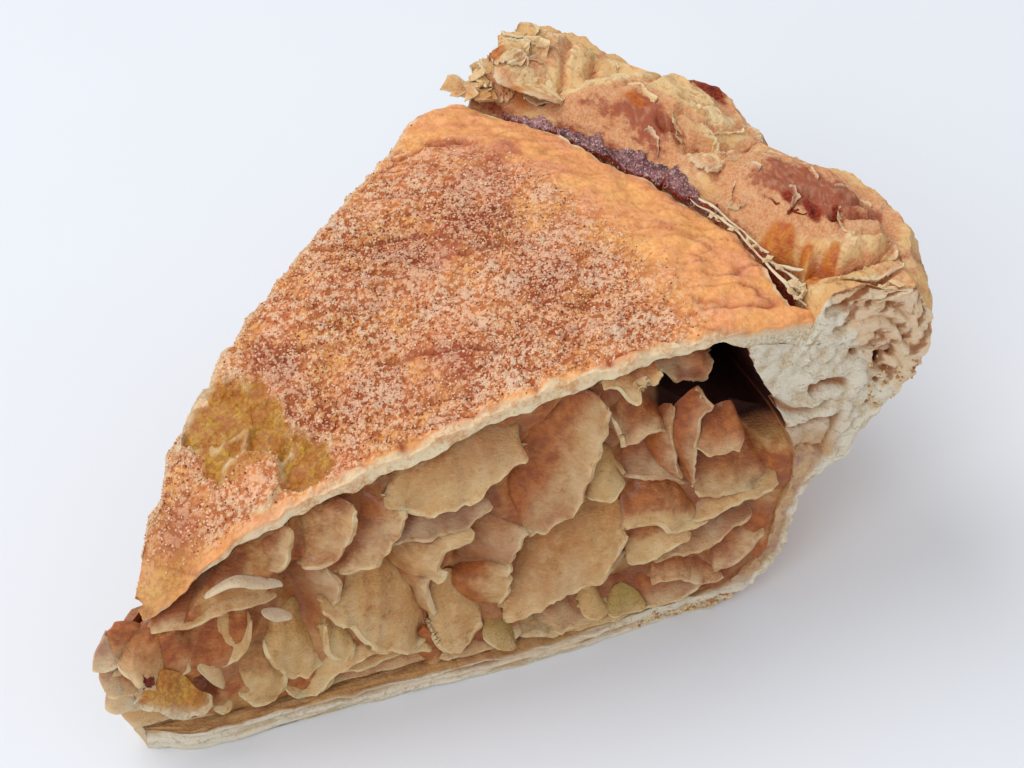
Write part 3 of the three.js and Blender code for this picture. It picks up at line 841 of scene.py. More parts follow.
def lid_start(grid):
    """The radius at which the top crust ends by the tip, further out towards the far cut edge."""
    ragged = fractal(grid * [0, 12, 0.6], 2.5, 3, 4.9)
    return LID["tip_radius"] + 3.6 * smoothstep(grid[:, 1], 0.4, 1) + 1.1 * ragged


def lid_end(angle, w):
    """The radius at which the top crust broke away from the rim, wavy and nearest to it by the slot."""
    wavy = fractal(stacked(30 * angle, 0, w), 2.5, 3)
    by_slot = bell(np.degrees(angle) + 9, 8)
    return LID["end_radius"] + 2.2 * by_slot + 4 * joined_corner(angle) + LID["end_wave"] * wavy


def joined_corner(angle):
    """1 by the near cut face, where the top crust still holds on to the rim, and 0 elsewhere."""
    return fading(np.degrees(angle), -21.7, -20.2)


def flaked_relief(radius, angle, wavy):
    """How deep the flaked spots lie, how flaked a place is and where the pale lips of the spots are."""
    depth, flaked, lip = 0, 0, 0
    for place, degrees, reach, sunk in FLAKED_SPOTS:
        distance = np.hypot(radius - place, radius * (angle - np.radians(degrees))) + 1.5 * wavy
        depth = depth + sunk * fading(distance, 0.72 * reach, 0.9 * reach)
        flaked = np.maximum(flaked, fading(distance, 0.75 * reach, 0.9 * reach))
        rim = bell(distance - 0.96 * reach, FLAKE_LIP_WIDTH) * smoothstep(wavy, -0.7, 0.4)
        lip = np.maximum(lip, rim)
    place, degrees, reach = RAISED_FLAKE
    distance = np.hypot(radius - place, radius * (angle - np.radians(degrees))) + 0.7 * wavy
    raised = fading(distance, 0.8 * reach, 0.95 * reach)
    lip = np.maximum(lip * (1 - raised), bell(distance - 0.93 * reach, FLAKE_LIP_WIDTH))
    glossy_tip = 0.8 * spot(radius, angle, 9, -13, 5, 2.6)
    flaked = np.maximum(flaked * (1 - 0.35 * raised), glossy_tip)
    return depth - 0.7 * raised, np.clip(flaked, 0, 1), lip


def skin_wrinkles(radius, arc, flat):
    """Ridges and valleys of the top crust's skin, which run at a slant."""
    run = stacked(0.3 * (0.77 * radius - 0.64 * arc), 0.64 * radius + 0.77 * arc, 0)
    wrinkled = 0.3 + 0.7 * smoothstep(noise(flat, 18, 4.4), -0.2, 0.5)
    ridges = wrinkled * (1 - np.abs(noise(run, 3.6, 2.2))) ** 6
    valleys = wrinkled * (1 - np.abs(noise(run, 3.1, 6.2))) ** 12
    return ridges, valleys


def fine_cracks(flat):
    """How deep the fine cracks of the top crust are at places as (radius, length of arc)."""
    lines = [[(radius, radius * np.radians(degrees)) for radius, degrees in line] for line in LID_CRACKS]
    sunk, _ = grooves(flat[:, :2], [(line, *LID_CRACK_SIZE) for line in lines])
    return sunk


def far_overhang(radius, ragged):
    """How far the top crust stands out at the far cut face, where it is torn into teeth."""
    along = radius / TEETH["end_radius"]
    tooth = np.abs((along * TEETH["number"] + 0.35 * ragged) % 1 - 0.5) * 2
    torn = TEETH["length"] * np.where(along < 1, tooth * (1 - along * along), 0)
    overhang = 2.0 * smoothstep(radius, 14, 26) - 1.2 * fading(radius, 6, 18)
    overhang = overhang + 1.6 * bell(radius - 85, 6) - 2 * smoothstep(radius, 90, 97)
    return overhang - torn - 0.3 * ragged


def top_crust():
    grid, faces = closed_box(evenly(250), crowded(180), evenly(5))
    u, v, w = grid.T
    angle = HALF_ANGLE * (2 * v - 1)
    end = lid_end(angle, w)
    radius = lerp(lid_start(grid), end, u)
    arc = radius * angle
    flat = stacked(radius, arc, 3)
    side_gap = from_ends(v) * 2 * HALF_ANGLE * radius
    ridges, valleys = skin_wrinkles(radius, arc, flat)
    wavy = noise(flat, 4.2, 8.1) + 0.5 * noise(flat, 1.6, 1.8) + 0.25 * noise(flat, 0.9, 2.8)
    depth, flaked, lip = flaked_relief(radius, angle, wavy)
    lip = lip * smoothstep(noise(flat, 2.2, 7.7), -0.35, 0.25)
    cracked = fine_cracks(flat)
    sugar = sugar_cover(radius, angle, flat) * (1 - flaked) * fading(cracked, 0.05, 0.35)
    by_tip = fading(radius, 7, 17) * (0.6 + 0.5 * noise(flat, 5, 2.7))
    lip, flaked = np.maximum(lip, 0.2 * by_tip), np.maximum(flaked, 0.75 * by_tip)
    crusted = (0.12 + 0.3 * sugar) * noise(flat, 1.15, 6.6)
    rounding = 0.5 * bell(side_gap, 0.6) + 0.6 * bell(end - radius, 0.9)
    grown = 0.5 + 0.5 * smoothstep(radius, 4, 14)
    bumps = grown * (0.6 * fractal(flat, 9, 3) + 0.3 * fractal(flat, 3, 2, 7.1))
    bumps = bumps + 0.5 * by_tip * fractal(flat, 2.4, 3, 5.9)
    skin = bumps + 0.6 * ridges - 0.5 * valleys + crusted
    top = w * (skin - depth + 0.3 * lip - cracked - rounding)
    ragged = fractal(stacked(radius, 40 * v, 4 * w), 6.0, 4, 1.7)
    near_lift = 0.8 * bell(side_gap, 1.6)
    joined = joined_corner(angle) * smoothstep(radius, 84, 91)
    under = 0.35 * fractal(flat, 5, 3, 9.1) + 0.6 * ragged * bell(side_gap, 2)
    under = (1 - w) * (under + near_lift * (1 - joined) - 1.8 * joined)
    height = lid_height(radius, angle) - (1 - w) * lid_thickness(radius) + top + under
    points = slice_point(radius, angle, height)
    points[:, 1] += smoothstep(v, 0.8, 1) * far_overhang(radius, ragged)
    points[:, 1] += fading(v, 0, 0.03) * (0.4 * ragged + 0.3 * noise(flat, 2.1, 3.3) * (1 - w))
    looks = lid_looks(radius, angle, v, w, side_gap, end, flat)
    shown = {
        "sugar": sugar, "flaked": flaked, "lip": lip,
        "crease": np.clip(valleys * 1.3 + 2.2 * cracked, 0, 1),
    }
    return Form(points, faces, **looks, **{name: value * w for name, value in shown.items()})


def sugar_cover(radius, angle, flat):
    """How thick the sugar lies: less along the crack, the far shoulder and the tip."""
    patchy = 0.7 + 0.45 * fractal(flat, 11, 3, 5.5)
    from_crack = smoothstep(96 - radius, 8, 20)
    shoulder = 1 - 0.8 * smoothstep(np.degrees(angle), 14, 21) * smoothstep(radius, 60, 85)
    near_band = smoothstep(radius * (angle + HALF_ANGLE), 0.4, 2.4)
    tip = 1 - 0.5 * fading(radius, 6, 15)
    round_flake = 1 - 0.65 * spot(radius, angle, *RAISED_FLAKE)
    return np.clip(patchy, 0, 1) * from_crack * shoulder * near_band * tip * round_flake


def lid_looks(radius, angle, v, w, side_gap, end, flat):
    """Where the top crust is toasted, pale at an edge, wet with juice or cut to its crumb."""
    toast = sum(0.8 * spot(radius, angle, *patch) for patch in REDDER_PATCHES)
    toast = np.clip(toast + 0.3 * fractal(flat, 7, 3, 1.1), 0, 1)
    cut_side = (1 - w) * np.where((v == 0) | (v == 1), 1, 0)
    cut_side = np.minimum(1, 2 * cut_side)
    by_rim = smoothstep(radius, 84, 90) * np.where(v < 0.5, 1, 0)
    near_band = fading(radius * (angle + HALF_ANGLE) + 0.6 * noise(flat, 3.5, 2.9), 0.2, 1.2)
    near_band = near_band * smoothstep(radius, 16, 34) * 0.85 * (1 - by_rim)
    far_band = 0.7 * fading(radius * (HALF_ANGLE - angle) + 0.5 * noise(flat, 3, 3.9), 0.3, 1.3)
    crack_lip = 0.8 * fading(end - radius, 0.2, 0.8) * (1 - joined_corner(angle))
    edge = np.maximum.reduce([near_band, far_band, crack_lip * w, cut_side])
    inside = np.where(w == 0, smoothstep(side_gap, 0.4, 1.6), 0)
    return {
        "toast": toast, "edge": np.clip(edge, 0, 1), "juice": inside * (1 - by_rim),
        "crumb": by_rim * cut_side,
    }


# Filling


def sunk_depth(radius, angle):
    share = smoothstep(0.5 + 0.5 * angle / HALF_ANGLE, 0, 0.8)
    opening = lerp(1, HOLLOW["share_at_far_face"], share)
    towards_rim = np.clip((radius - HOLLOW["start"]) / (LID["end_radius"] - HOLLOW["start"]), 0, 1)
    return opening * HOLLOW["depth_at_rim"] * towards_rim ** HOLLOW["shape"]


def roof_height(radius, angle):
    slack = 0.9 + 1.8 * fading(radius, DROOP["end"], 20)
    return lid_height(radius, angle) - lid_thickness(radius) - slack


def wall_radius(height):
    wall = [(z, radius) for radius, z in CRUST_INSIDE[WALL_POINTS]]
    return value_at(wall, height)


RELIEF_CELL = 0.6
RELIEF_SIZE = (130, 70)
RELIEF_MARGIN = 8
EMPTY = 99.0


class Relief:
    """How deep the outermost points of some forms lie behind a cut face, by radius and height."""

    def __init__(self, forms, side, around=4):
        self.side = side
        points = np.concatenate([form.points for form in forms])
        columns, rows = self.cells(points)
        front = np.full([int(size / RELIEF_CELL) for size in RELIEF_SIZE], EMPTY)
        np.minimum.at(front, (columns, rows), self.depth(points))
        known = front < EMPTY
        shifts = list(itertools.product(range(-around, around + 1), repeat=2))
        weights = [np.exp(-2 * (a * a + b * b) / around**2) for a, b in shifts]
        total, self.cover = (
            sum(weight * np.roll(grid, shift, (0, 1)) for weight, shift in zip(weights, shifts))
            for grid in (np.where(known, front, 0), known.astype(float))
        )
        self.mean = total / np.maximum(self.cover, 1e-6)
        self.cover = self.cover / sum(weights)

    def place(self, points):
        """Radius and height on the face, in cells."""
        along = points @ np.array([np.cos(HALF_ANGLE), self.side * np.sin(HALF_ANGLE), 0])
        radius = along - PIE_MIDDLE_X * np.cos(HALF_ANGLE)
        return np.stack([radius + RELIEF_MARGIN, points[:, 2]]) / RELIEF_CELL

    def cells(self, points):
        return tuple(self.place(points).astype(int))

    def sample(self, grid, points):
        """A grid's values at points, smooth between its cells."""
        place = np.maximum(self.place(points) - 0.5, 0)
        cell = place.astype(int)
        part = place - cell
        return sum(
            np.prod([part[k] if corner[k] else 1 - part[k] for k in (0, 1)], axis=0)
            * grid[cell[0] + corner[0], cell[1] + corner[1]]
            for corner in itertools.product((0, 1), repeat=2)
        )

    def depth(self, points):
        return (points - slice_point(60, self.side * HALF_ANGLE, 0)) @ face_inward(self.side)

    def behind(self, points):
        """How far points lie behind the mean of what is around them, from 0 to 1."""
        return smoothstep(self.depth(points) - self.sample(self.mean, points), -0.7, 1.3)


# The filling between the slices
CORE_START = 6
CORE_INSET = 2.4
SLICE_STAND = 0.75
ROOF_GAP = 0.35


def sauce_core(reliefs):
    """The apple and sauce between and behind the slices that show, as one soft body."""
    grid, faces = closed_box(evenly(200), evenly(14), evenly(96))
    u, v, w = grid.T
    side = 2 * v - 1
    angle = side * HALF_ANGLE
    radius, height = lerp(CORE_START, LID["end_radius"], u), FILLING_FLOOR
    for _ in range(4):
        roof = roof_height(radius, angle) - ROOF_GAP - sunk_depth(radius, angle)
        height = lerp(FILLING_FLOOR + 0.1, roof, w)
        radius = lerp(CORE_START, wall_radius(height) + 0.4, u)
    points = slice_point(radius, angle, height)
    lumps = fractal(points, 4.5, 4)
    inset, hidden = np.full(len(points), CORE_INSET), np.zeros(len(points))
    for relief in reliefs:
        here = slice_point(radius, relief.side * HALF_ANGLE, height)
        shown = relief.sample(relief.mean, here) + SLICE_STAND
        covered = smoothstep(relief.sample(relief.cover, here), 0.35, 0.8)
        on_side = side * relief.side > 0
        inset = np.where(on_side, lerp(CORE_INSET, np.clip(shown, -1.5, 5), covered), inset)
        hidden = np.where(on_side, covered, hidden)
    wall = wall_radius(height)
    by_wall = smoothstep(radius, wall - 6, wall - 1) * fading(height, 30, 34)
    in_hollow = smoothstep(radius, 74, 80) * smoothstep(height, 30, 34)
    inset = lerp(inset, 0.5, by_wall) + 4 * in_hollow - lerp(0.6, 0.15, hidden) * lumps
    points[:, 0] += inset * np.sin(HALF_ANGLE) * np.abs(side)
    points[:, 1] -= inset * np.cos(HALF_ANGLE) * side
    # Painted shade: how far each point lies behind the slices around it, strongest in the hollow.
    recess = np.where(side < 0, *(relief.behind(points) for relief in reliefs))
    tone = np.clip(0.5 + 0.5 * noise(points, 8, 2.2), 0, 1)
    pink = np.clip(0.2 + 0.9 * noise(points, 6, 4.4), 0, 1)
    looks = {"tone": tone, "glaze": 0.6 + 0.4 * lumps, "pink": pink, "green": 0.0, "white": 0.0}
    return Form(points, faces, edge=0.0, recess=np.maximum(recess, 1.6 * in_hollow), **looks)


SHEET_GRID = closed_box(evenly(36), evenly(13) ** 1.6, evenly(2))


def sheet(front, back, thickness, outwards, seed, belly=0.9, ruffle=0.7, box=SHEET_GRID,
          ends=(2.2, 1.7), pleats=0.0, lip=0.6, sink=0.0):
    """A thin curved piece lofted from a front edge to a back edge, each a row of points.

    Its front edge is thin and wavy and stands off by lip. Both ends are rounded as ends say and
    lie lower by sink. belly, ruffle and pleats are the heights of its bulge, waves and folds."""
    grid, faces = box
    s, t, w = grid.T
    length = np.linalg.norm(np.asarray(front)[-1] - np.asarray(front)[0])

    def surface(s, t):
        rounded = (1 - np.abs(2 * np.clip(s, 0, 1) - 1) ** ends[0]) ** (1 / ends[1])
        share = t * lerp(0.12, 1, rounded)
        smooth = lerp(spline(front, s), spline(back, s), share[:, None])
        waves = stacked(*(
            noise(smooth, 5, seed + 11 * k) + 0.25 * noise(smooth, 1.9, seed + k) for k in range(3)
        ))
        lifted = belly * np.sin(np.pi * np.clip(t, 0, 1)) * np.sin(np.pi * s) + lip * np.exp(-t / 0.12)
        lifted = lifted - sink * np.abs(2 * s - 1) ** 3
        lifted = lifted + pleats * fractal(stacked(s * length, 3 * t + 2 * s, 0), 3.6, 2, seed)
        frayed = noise(smooth, 1.3, seed + 3) + 0.7 * noise(smooth, 2.9, seed + 5)
        ragged = ruffle * np.exp(-t / 0.09) * frayed
        drawn_in = (spline(back, s) - spline(front, s)) * 0.06 * ragged[:, None]
        waved = smooth + ruffle * lerp(1, 0.5, t)[:, None] * waves + drawn_in
        return waved + np.multiply.outer(lifted, outwards)

    step = 0.02
    along = surface(s + step, t) - surface(s - step, t)
    across = surface(s, t + step) - surface(s, t - step)
    normal = np.cross(along, across)
    normal /= np.linalg.norm(normal, axis=1, keepdims=True) + 1e-9
    normal *= np.where(normal @ outwards < 0, -1, 1)[:, None]
    taper = 1 - 0.7 * np.abs(2 * s - 1) ** 4
    thick = thickness * lerp(0.38, 1, smoothstep(t, 0, 0.35)) * taper
    return surface(s, t) - normal * (thick * w)[:, None], faces, s, t


def apple_slice(front, back, thickness, outwards, seed, torn=1.0, **looks):
    """A cooked slice: pale at its thin edge, glazed towards its back and more or less torn."""
    width = np.linalg.norm(np.mean(front, axis=0) - np.mean(back, axis=0))
    large = float(np.clip(width / 8, 0.15, 1))
    points, faces, s, t = sheet(
        front, back, thickness, outwards, seed, belly=large * (0.8 + 0.8 * np.sin(5 * seed)),
        ruffle=0.7 * large * torn, pleats=0.65 * large, lip=0.6 * large, sink=1.3 * large,
    )
    points[:, 2] = np.maximum(points[:, 2], 0.05)
    cloud = 0.5 + 0.5 * noise(points, 3.5, seed + 2)
    thin = lerp(0.25, 1.0, np.clip(0.6 + 0.8 * noise(points, 2.4, seed + 4), 0, 1))
    edge = np.maximum(0.85 * cloud * bell(t, 0.4), thin * bell(t, 0.05))
    edge = np.maximum(edge, 0.4 * bell(from_ends(s), 0.03))
    usual = {"tone": 0.4, "glaze": 0.2, "pink": 0.0, "green": 0.0, "white": 0.0}
    values = {name: looks.get(name, value) for name, value in usual.items()}
    glazed_back = (0.45 + 0.45 * np.sin(7 * seed)) * smoothstep(t, 0.1, 0.7)
    region = noise(points, 15, 8.8)
    low_by_wall = smoothstep(points[:, 0], 10, 25) * fading(points[:, 2], 20, 32)
    values["glaze"] = np.clip(values["glaze"] + glazed_back, 0, 1)
    values["tone"] = np.clip(values["tone"] + 0.3 * region, 0, 1)
    values["pink"] = np.clip(values["pink"] + 0.5 * region + 0.25 * low_by_wall, 0, 1)
    return Form(points, faces, edge=edge, **values)


def face_slice(front, back, depths, thickness, side, seed, **looks):
    """A slice that shows in a cut face. Its edges are (radius, height) places and each has a depth."""
    depths = (depths[0] - 0.6, 1.3 * depths[1] + 0.8)
    edges = [face_edge(edge, side, depth) for edge, depth in zip((front, back), depths)]
    return apple_slice(*edges, thickness, -face_inward(side), seed, **looks)


# The slices that show in the near face: front edge, back edge, depths, thickness and looks
NEAR_SLICES = [
    ([(69.1, 46.7), (67.7, 40.3), (65.8, 31), (61.9, 26.6), (58, 25.2)],
     [(63, 49.5), (59.5, 42), (56, 36.5), (54, 32.5)],
     (-1.0, 3.2), 2.2, {"tone": 0.55, "pink": 0.25}),
    ([(57.9, 40), (54.2, 38), (49, 34.6), (42.9, 34.4), (38.6, 36.4)],
     [(55, 47), (48, 45), (40.5, 41.8)],
     (-0.8, 2.4), 2.4, {"tone": 0.15, "glaze": 0.1}),
    ([(53, 31.5), (48.9, 29), (44.1, 29), (38.2, 28.6)],
     [(51, 37), (44, 36), (38, 35)],
     (0.4, 3.4), 2.0, {"tone": 1.0, "pink": 1.3}),
    ([(50.5, 28.5), (47.6, 26.5), (44.6, 24.3), (45.5, 21.8), (44.9, 19.2)],
     [(43, 31), (38.5, 27), (37.5, 20)],
     (-0.9, 2.8), 2.4, {"tone": 0.25, "glaze": 0.1}),
    ([(58.6, 25.3), (57.3, 24.4), (55.9, 22), (54.7, 19.6)],
     [(51, 30.5), (48, 26), (46.5, 18)],
     (-0.2, 3.2), 2.2, {"tone": 0.7, "pink": 0.4}),
    ([(55.6, 20.4), (55.0, 18.6), (55.1, 15.7), (54.4, 11.6)],
     [(48.5, 19.5), (46.5, 15), (47.5, 9.5)],
     (-0.6, 2.6), 2.0, {"tone": 0.1}),
    ([(54.5, 9.6), (60.5, 10.8), (65, 13), (68.4, 14), (70, 17.2), (73, 21)],
     [(55.3, 21), (60.5, 25.6), (66.5, 28.4), (75, 30)],
     (-1.3, 2.6), 2.6, {"tone": 0.45, "glaze": 0.3}),
    ([(72, 21.8), (77.5, 22.6), (81.2, 20.4), (85.3, 21)],
     [(72, 29.6), (78, 29.4), (83.5, 26.5)],
     (-0.9, 2.4), 2.2, {"tone": 0.3, "glaze": 0.3}),
    ([(82.2, 45.8), (83.5, 43.4), (82.9, 41.2), (82.2, 37.4), (82.5, 33.4), (82.6, 28.6)],
     [(81.8, 45.6), (79.6, 42.8), (79.1, 37.6), (79.8, 32.6), (81, 28.2)],
     (-0.9, 0.6), 1.2, {"tone": 0.8, "pink": 0.6, "glaze": 1.0, "torn": 2.8}),
    ([(82, 35.9), (85.6, 35.5), (88.8, 35.1), (90.3, 35.3)],
     [(82.2, 42), (85.6, 40.2), (88.4, 40.5), (89.5, 38.4)],
     (-1.2, 0.2), 1.1, {"tone": 0.8, "glaze": 1.0, "torn": 3.2}),
    ([(79.4, 42.6), (79.3, 37), (79.8, 32), (81, 28.4)],
     [(77.2, 41.4), (76.4, 37), (76.2, 32.6), (77.6, 29)],
     (0.9, 2.0), 1.6, {"tone": 0.9, "glaze": 1.0, "torn": 1.8}),
    ([(75.6, 46.8), (81, 45), (84.5, 44.8), (86.1, 46.3)],
     [(76.4, 51), (80, 51.6), (84, 51.2)],
     (3.6, 6), 1.6, {"tone": 0.9, "pink": 0.8, "glaze": 1.0, "torn": 2.0}),
    ([(68.6, 49.4), (70.9, 48), (72.6, 45.8), (73.6, 47.6), (76.4, 50)],
     [(69, 50.8), (72.8, 51.6), (76.6, 51.8)],
     (-0.5, 1.4), 1.3, {"tone": 0.5, "glaze": 0.3, "torn": 2.4}),
    ([(70, 43.8), (71.2, 41), (72.4, 37.9), (74, 39), (76.4, 39.6), (78.6, 38.4)],
     [(69.4, 47.4), (72.6, 45.9), (76, 43.6), (78.8, 41.6)],
     (0.0, 2.2), 1.8, {"tone": 0.5, "glaze": 0.8, "torn": 1.8}),
    ([(72.4, 30.6), (77, 29.8), (83, 26.5)],
     [(72.4, 37.6), (76.5, 38.6), (81, 34)],
     (1.3, 4.4), 2.0, {"tone": 0.7, "pink": 0.85}),
    ([(72.8, 30.3), (69.5, 29.4), (66.4, 28.9)],
     [(70.4, 38), (68, 38.6), (66.3, 37.5)],
     (0.1, 2.2), 2.0, {"tone": 0.05, "green": 0.2, "glaze": 0.0}),
    ([(83.4, 26), (89, 25), (95.2, 24.2)],
     [(83.8, 33.4), (90.7, 33), (96, 30)],
     (0.2, 3.4), 2.6, {"tone": 0.75, "pink": 0.5, "glaze": 0.35}),
    ([(81.2, 20.7), (86, 22.6), (92.1, 24.2), (96, 25)],
     [(83.5, 26), (88.5, 27.5), (96, 28.5)],
     (-0.6, 2.2), 1.8, {"tone": 0.3, "glaze": 0.25}),
    ([(73.5, 15.6), (76.6, 14.9), (80, 17.2), (82.5, 18.6)],
     [(72.8, 21.6), (77, 22.3), (82.6, 21.8)],
     (-0.8, 1.8), 1.8, {"tone": 0.0, "glaze": 0.0}),
    ([(78.5, 12), (86, 14.5), (93, 18.5)],
     [(80.5, 19), (87, 20.6), (96, 22.5)],
     (0.5, 3.2), 2.4, {"tone": 0.45, "pink": 0.5}),
    ([(87.6, 8.5), (92.2, 11), (95.8, 15)],
     [(88, 14.2), (92.5, 17.5), (96.3, 21)],
     (0.6, 2.8), 2.4, {"tone": 0.7, "glaze": 0.8}),
    ([(77.6, 9.2), (81.5, 10.6), (85, 7.4), (89, 7.2)],
     [(78.5, 13.8), (83.4, 13.2), (88.2, 9.8)],
     (-0.7, 2.0), 1.8, {"tone": 0.6, "glaze": 0.7}),
    ([(70.2, 10), (72, 13.5), (74.5, 17.8)],
     [(76, 7.5), (78, 11), (79.5, 15)],
     (1.5, 2.2), 2.2, {"tone": 0.5, "pink": 0.5}),
    ([(57, 5.2), (63, 4.6), (70, 5.4), (76, 5.6)],
     [(55.5, 11), (62, 12), (69, 13), (76, 10)],
     (0.2, 2.8), 2.4, {"tone": 0.6, "pink": 0.5}),
    ([(28.6, 20.4), (32.6, 16), (36.6, 10.2), (43.4, 6.9)],
     [(29.4, 23.4), (34, 24.9), (39.2, 23.6), (44, 16)],
     (-1.5, 2.2), 2.6, {"tone": 0.2, "glaze": 0.2}),
    ([(42.6, 0.9), (44.2, 0.3), (45.6, 1)],
     [(40.5, 9.5), (43, 10.4), (45.2, 9)],
     (-1.4, -0.6), 1.1, {"tone": 0.35, "glaze": 0.5}),
    ([(51.8, 8.4), (48.4, 5.8), (45.6, 6.2), (44.3, 10)],
     [(51.5, 14.2), (48.5, 17.6), (45, 18), (42.5, 16)],
     (-0.6, 2.0), 2.2, {"tone": 0.3, "glaze": 0.25}),
    ([(40.9, 35.8), (39.8, 32.2), (38, 29.3), (34.8, 26.5), (31.5, 25)],
     [(36, 39.6), (33.6, 37.3), (31.6, 32.5), (30, 28)],
     (-0.8, 2.8), 2.4, {"tone": 0.35, "glaze": 0.45}),
    ([(34.6, 37.6), (33.1, 34.7), (30.6, 29.6), (26.8, 28.9)],
     [(29, 38.6), (26.3, 36.4), (24.6, 31)],
     (-0.9, 2.6), 2.4, {"tone": 0.4, "glaze": 0.6}),
    ([(25.3, 35.4), (24.4, 31), (21.6, 29.6)],
     [(21.4, 36.4), (19.4, 33.4), (19, 30.6)],
     (-0.3, 2.6), 2.0, {"tone": 0.6, "glaze": 0.45}),
    ([(29.8, 25.8), (31, 22.6), (29, 18)],
     [(23.6, 29), (23.4, 24.5), (24, 19.6)],
     (0.6, 3.2), 2.2, {"tone": 0.7, "pink": 0.7}),
    ([(44.6, 20), (43.6, 16.6), (44.4, 11.6)],
     [(39.5, 24.6), (38.6, 19), (39.5, 12)],
     (1.0, 3.4), 2.4, {"tone": 0.5, "pink": 0.4}),
    ([(5, 23.6), (11, 24), (16, 25.2), (22.4, 24.4)],
     [(5.6, 26.2), (10.6, 26.8), (16, 28.8), (22.4, 27)],
     (-0.6, 1.4), 1.4, {"tone": 0.5, "glaze": 0.5}),
    ([(12.6, 28.8), (16.6, 29.8), (20, 28.2), (23.4, 26.8)],
     [(12.8, 29), (17, 30.3), (20.2, 29), (23.6, 27.7)],
     (-1.1, -0.9), 0.6, {"tone": 0.0, "white": 0.5, "glaze": -0.7, "torn": 3.0}),
    ([(19.8, 22.9), (22, 21), (24, 20.6)],
     [(20, 23.3), (22.2, 22.1), (24.2, 21)],
     (-1.1, -0.9), 0.6, {"tone": 0.0, "white": 0.5, "glaze": -0.7, "torn": 3.0}),
    ([(28.6, 17.2), (28.6, 12.6), (30.4, 9.8), (32.2, 12.4)],
     [(29.6, 18.6), (30.6, 18.4), (32, 17.6)],
     (-1.4, 0.8), 2.4, {"tone": 0.05, "green": 0.25, "glaze": 0.0}),
    ([(22.4, 4.3), (26, 4), (29.6, 7.4), (34, 9.6), (40, 8.8)],
     [(21.4, 10.4), (25, 12.4), (29, 14.6), (35, 15.6), (40, 14)],
     (-0.9, 2.2), 2.2, {"tone": 0.1}),
    ([(20, 15.6), (21.4, 11), (24.6, 7.6), (28.8, 9.6)],
     [(21.4, 21.4), (24.4, 20.4), (28.6, 18)],
     (0.0, 2.6), 2.2, {"tone": 0.15, "green": 0.15}),
    ([(14.6, 12.6), (14.8, 8.4), (17, 4.8), (20.6, 5.4), (22.4, 10)],
     [(15.6, 16.4), (19.8, 17.6), (22.6, 14.6)],
     (-0.6, 1.6), 2.0, {"tone": 0.5, "green": 0.2, "glaze": 0.0}),
    ([(10.2, 16.4), (13.4, 14.6), (16.4, 16.6), (18.6, 20.6)],
     [(10.6, 22.4), (14.6, 23.6), (18.8, 22.4)],
     (-0.5, 1.6), 1.8, {"tone": 0.35, "glaze": 0.0}),
    ([(0.6, 18.6), (2.4, 16.2), (6.4, 15), (9.6, 18)],
     [(0.8, 22.4), (4.8, 24.2), (9.8, 23.2)],
     (-1.0, 0.4), 1.8, {"tone": 0.3, "pink": 0.2, "glaze": 0.0, "torn": 2.0}),
    ([(0.8, 12), (4, 10.2), (9, 11.2)],
     [(0.8, 17.4), (4.6, 17.6), (9.6, 16.6)],
     (-0.5, 0.8), 1.8, {"tone": 0.4, "pink": 0.3, "glaze": 0.0, "torn": 2.0}),
    ([(10.2, 16.4), (11.8, 12.8), (13.2, 10.8)],
     [(11, 17.2), (13.4, 15), (14, 11)],
     (-1.8, -1.2), 0.6, {"tone": 0.0, "glaze": -0.8, "white": 0.15}),
    ([(6, 4.1), (17, 3.9), (30, 4)],
     [(7, 6.6), (18, 7.4), (30, 7.4)],
     (0.5, 1.6), 1.6, {"tone": 0.9, "glaze": 1.0}),
    ([(24, 4), (34, 3.9), (44, 4.1)],
     [(25, 6.4), (34, 6.9), (44, 6.6)],
     (0.2, 0.8), 1.2, {"tone": 0.7, "glaze": 0.8}),
    ([(11.3, 6.3), (12.8, 5.2), (14.2, 6.6)],
     [(12.6, 10.8), (13.6, 11.2), (14.4, 10.4)],
     (-1.2, 0.2), 1.2, {"tone": 0.0, "green": 0.3, "glaze": -0.4}),
    ([(29, 6.6), (36, 6.8), (43, 8.6)],
     [(29.6, 9.6), (36, 10.2), (42.6, 11.6)],
     (-0.7, 1.4), 1.6, {"tone": 0.2, "glaze": 0.1}),
    ([(44, 4), (51, 3.9), (58, 4.2)],
     [(44.6, 8.4), (51, 8.8), (58, 8.6)],
     (-0.3, 1.6), 1.8, {"tone": 0.2, "pink": 0.2}),
    ([(57, 4), (66, 3.9), (75, 4.4)],
     [(57.6, 8), (66, 8.8), (75, 8.4)],
     (-0.4, 1.6), 1.8, {"tone": 0.4, "glaze": 0.2}),
    ([(74, 4.4), (81, 5), (87, 7)],
     [(74.6, 9.2), (80.6, 10.4), (86, 11.4)],
     (-0.3, 1.6), 1.8, {"tone": 0.5, "pink": 0.5, "glaze": 0.3}),
    ([(22, 6.2), (24, 4.2), (27, 4), (29, 6.4)],
     [(22.4, 7), (25.2, 7.6), (28.8, 7.4)],
     (-0.9, 0.4), 1.2, {"tone": 0.0, "glaze": -0.5}),
    ([(51.2, 6.6), (53.6, 4.8), (56, 4)],
     [(51.6, 9.2), (54, 8.6), (56.8, 6.4)],
     (-1.6, 0.2), 1.2, {"tone": 0.0, "green": 0.5}),
    ([(66.4, 7.6), (68, 6), (70.4, 6.2)],
     [(65.8, 11.8), (67.6, 13.2), (69.4, 9.2)],
     (-1.4, 0.0), 1.2, {"tone": 0.0, "glaze": -0.4, "green": 0.15}),
    ([(70.4, 6.4), (73.6, 5.2), (76.6, 5.4)],
     [(70.4, 7.6), (73, 8.4), (76.4, 7.2)],
     (-1.3, 0.4), 1.0, {"tone": 0.3, "green": 0.6, "torn": 1.8}),
]


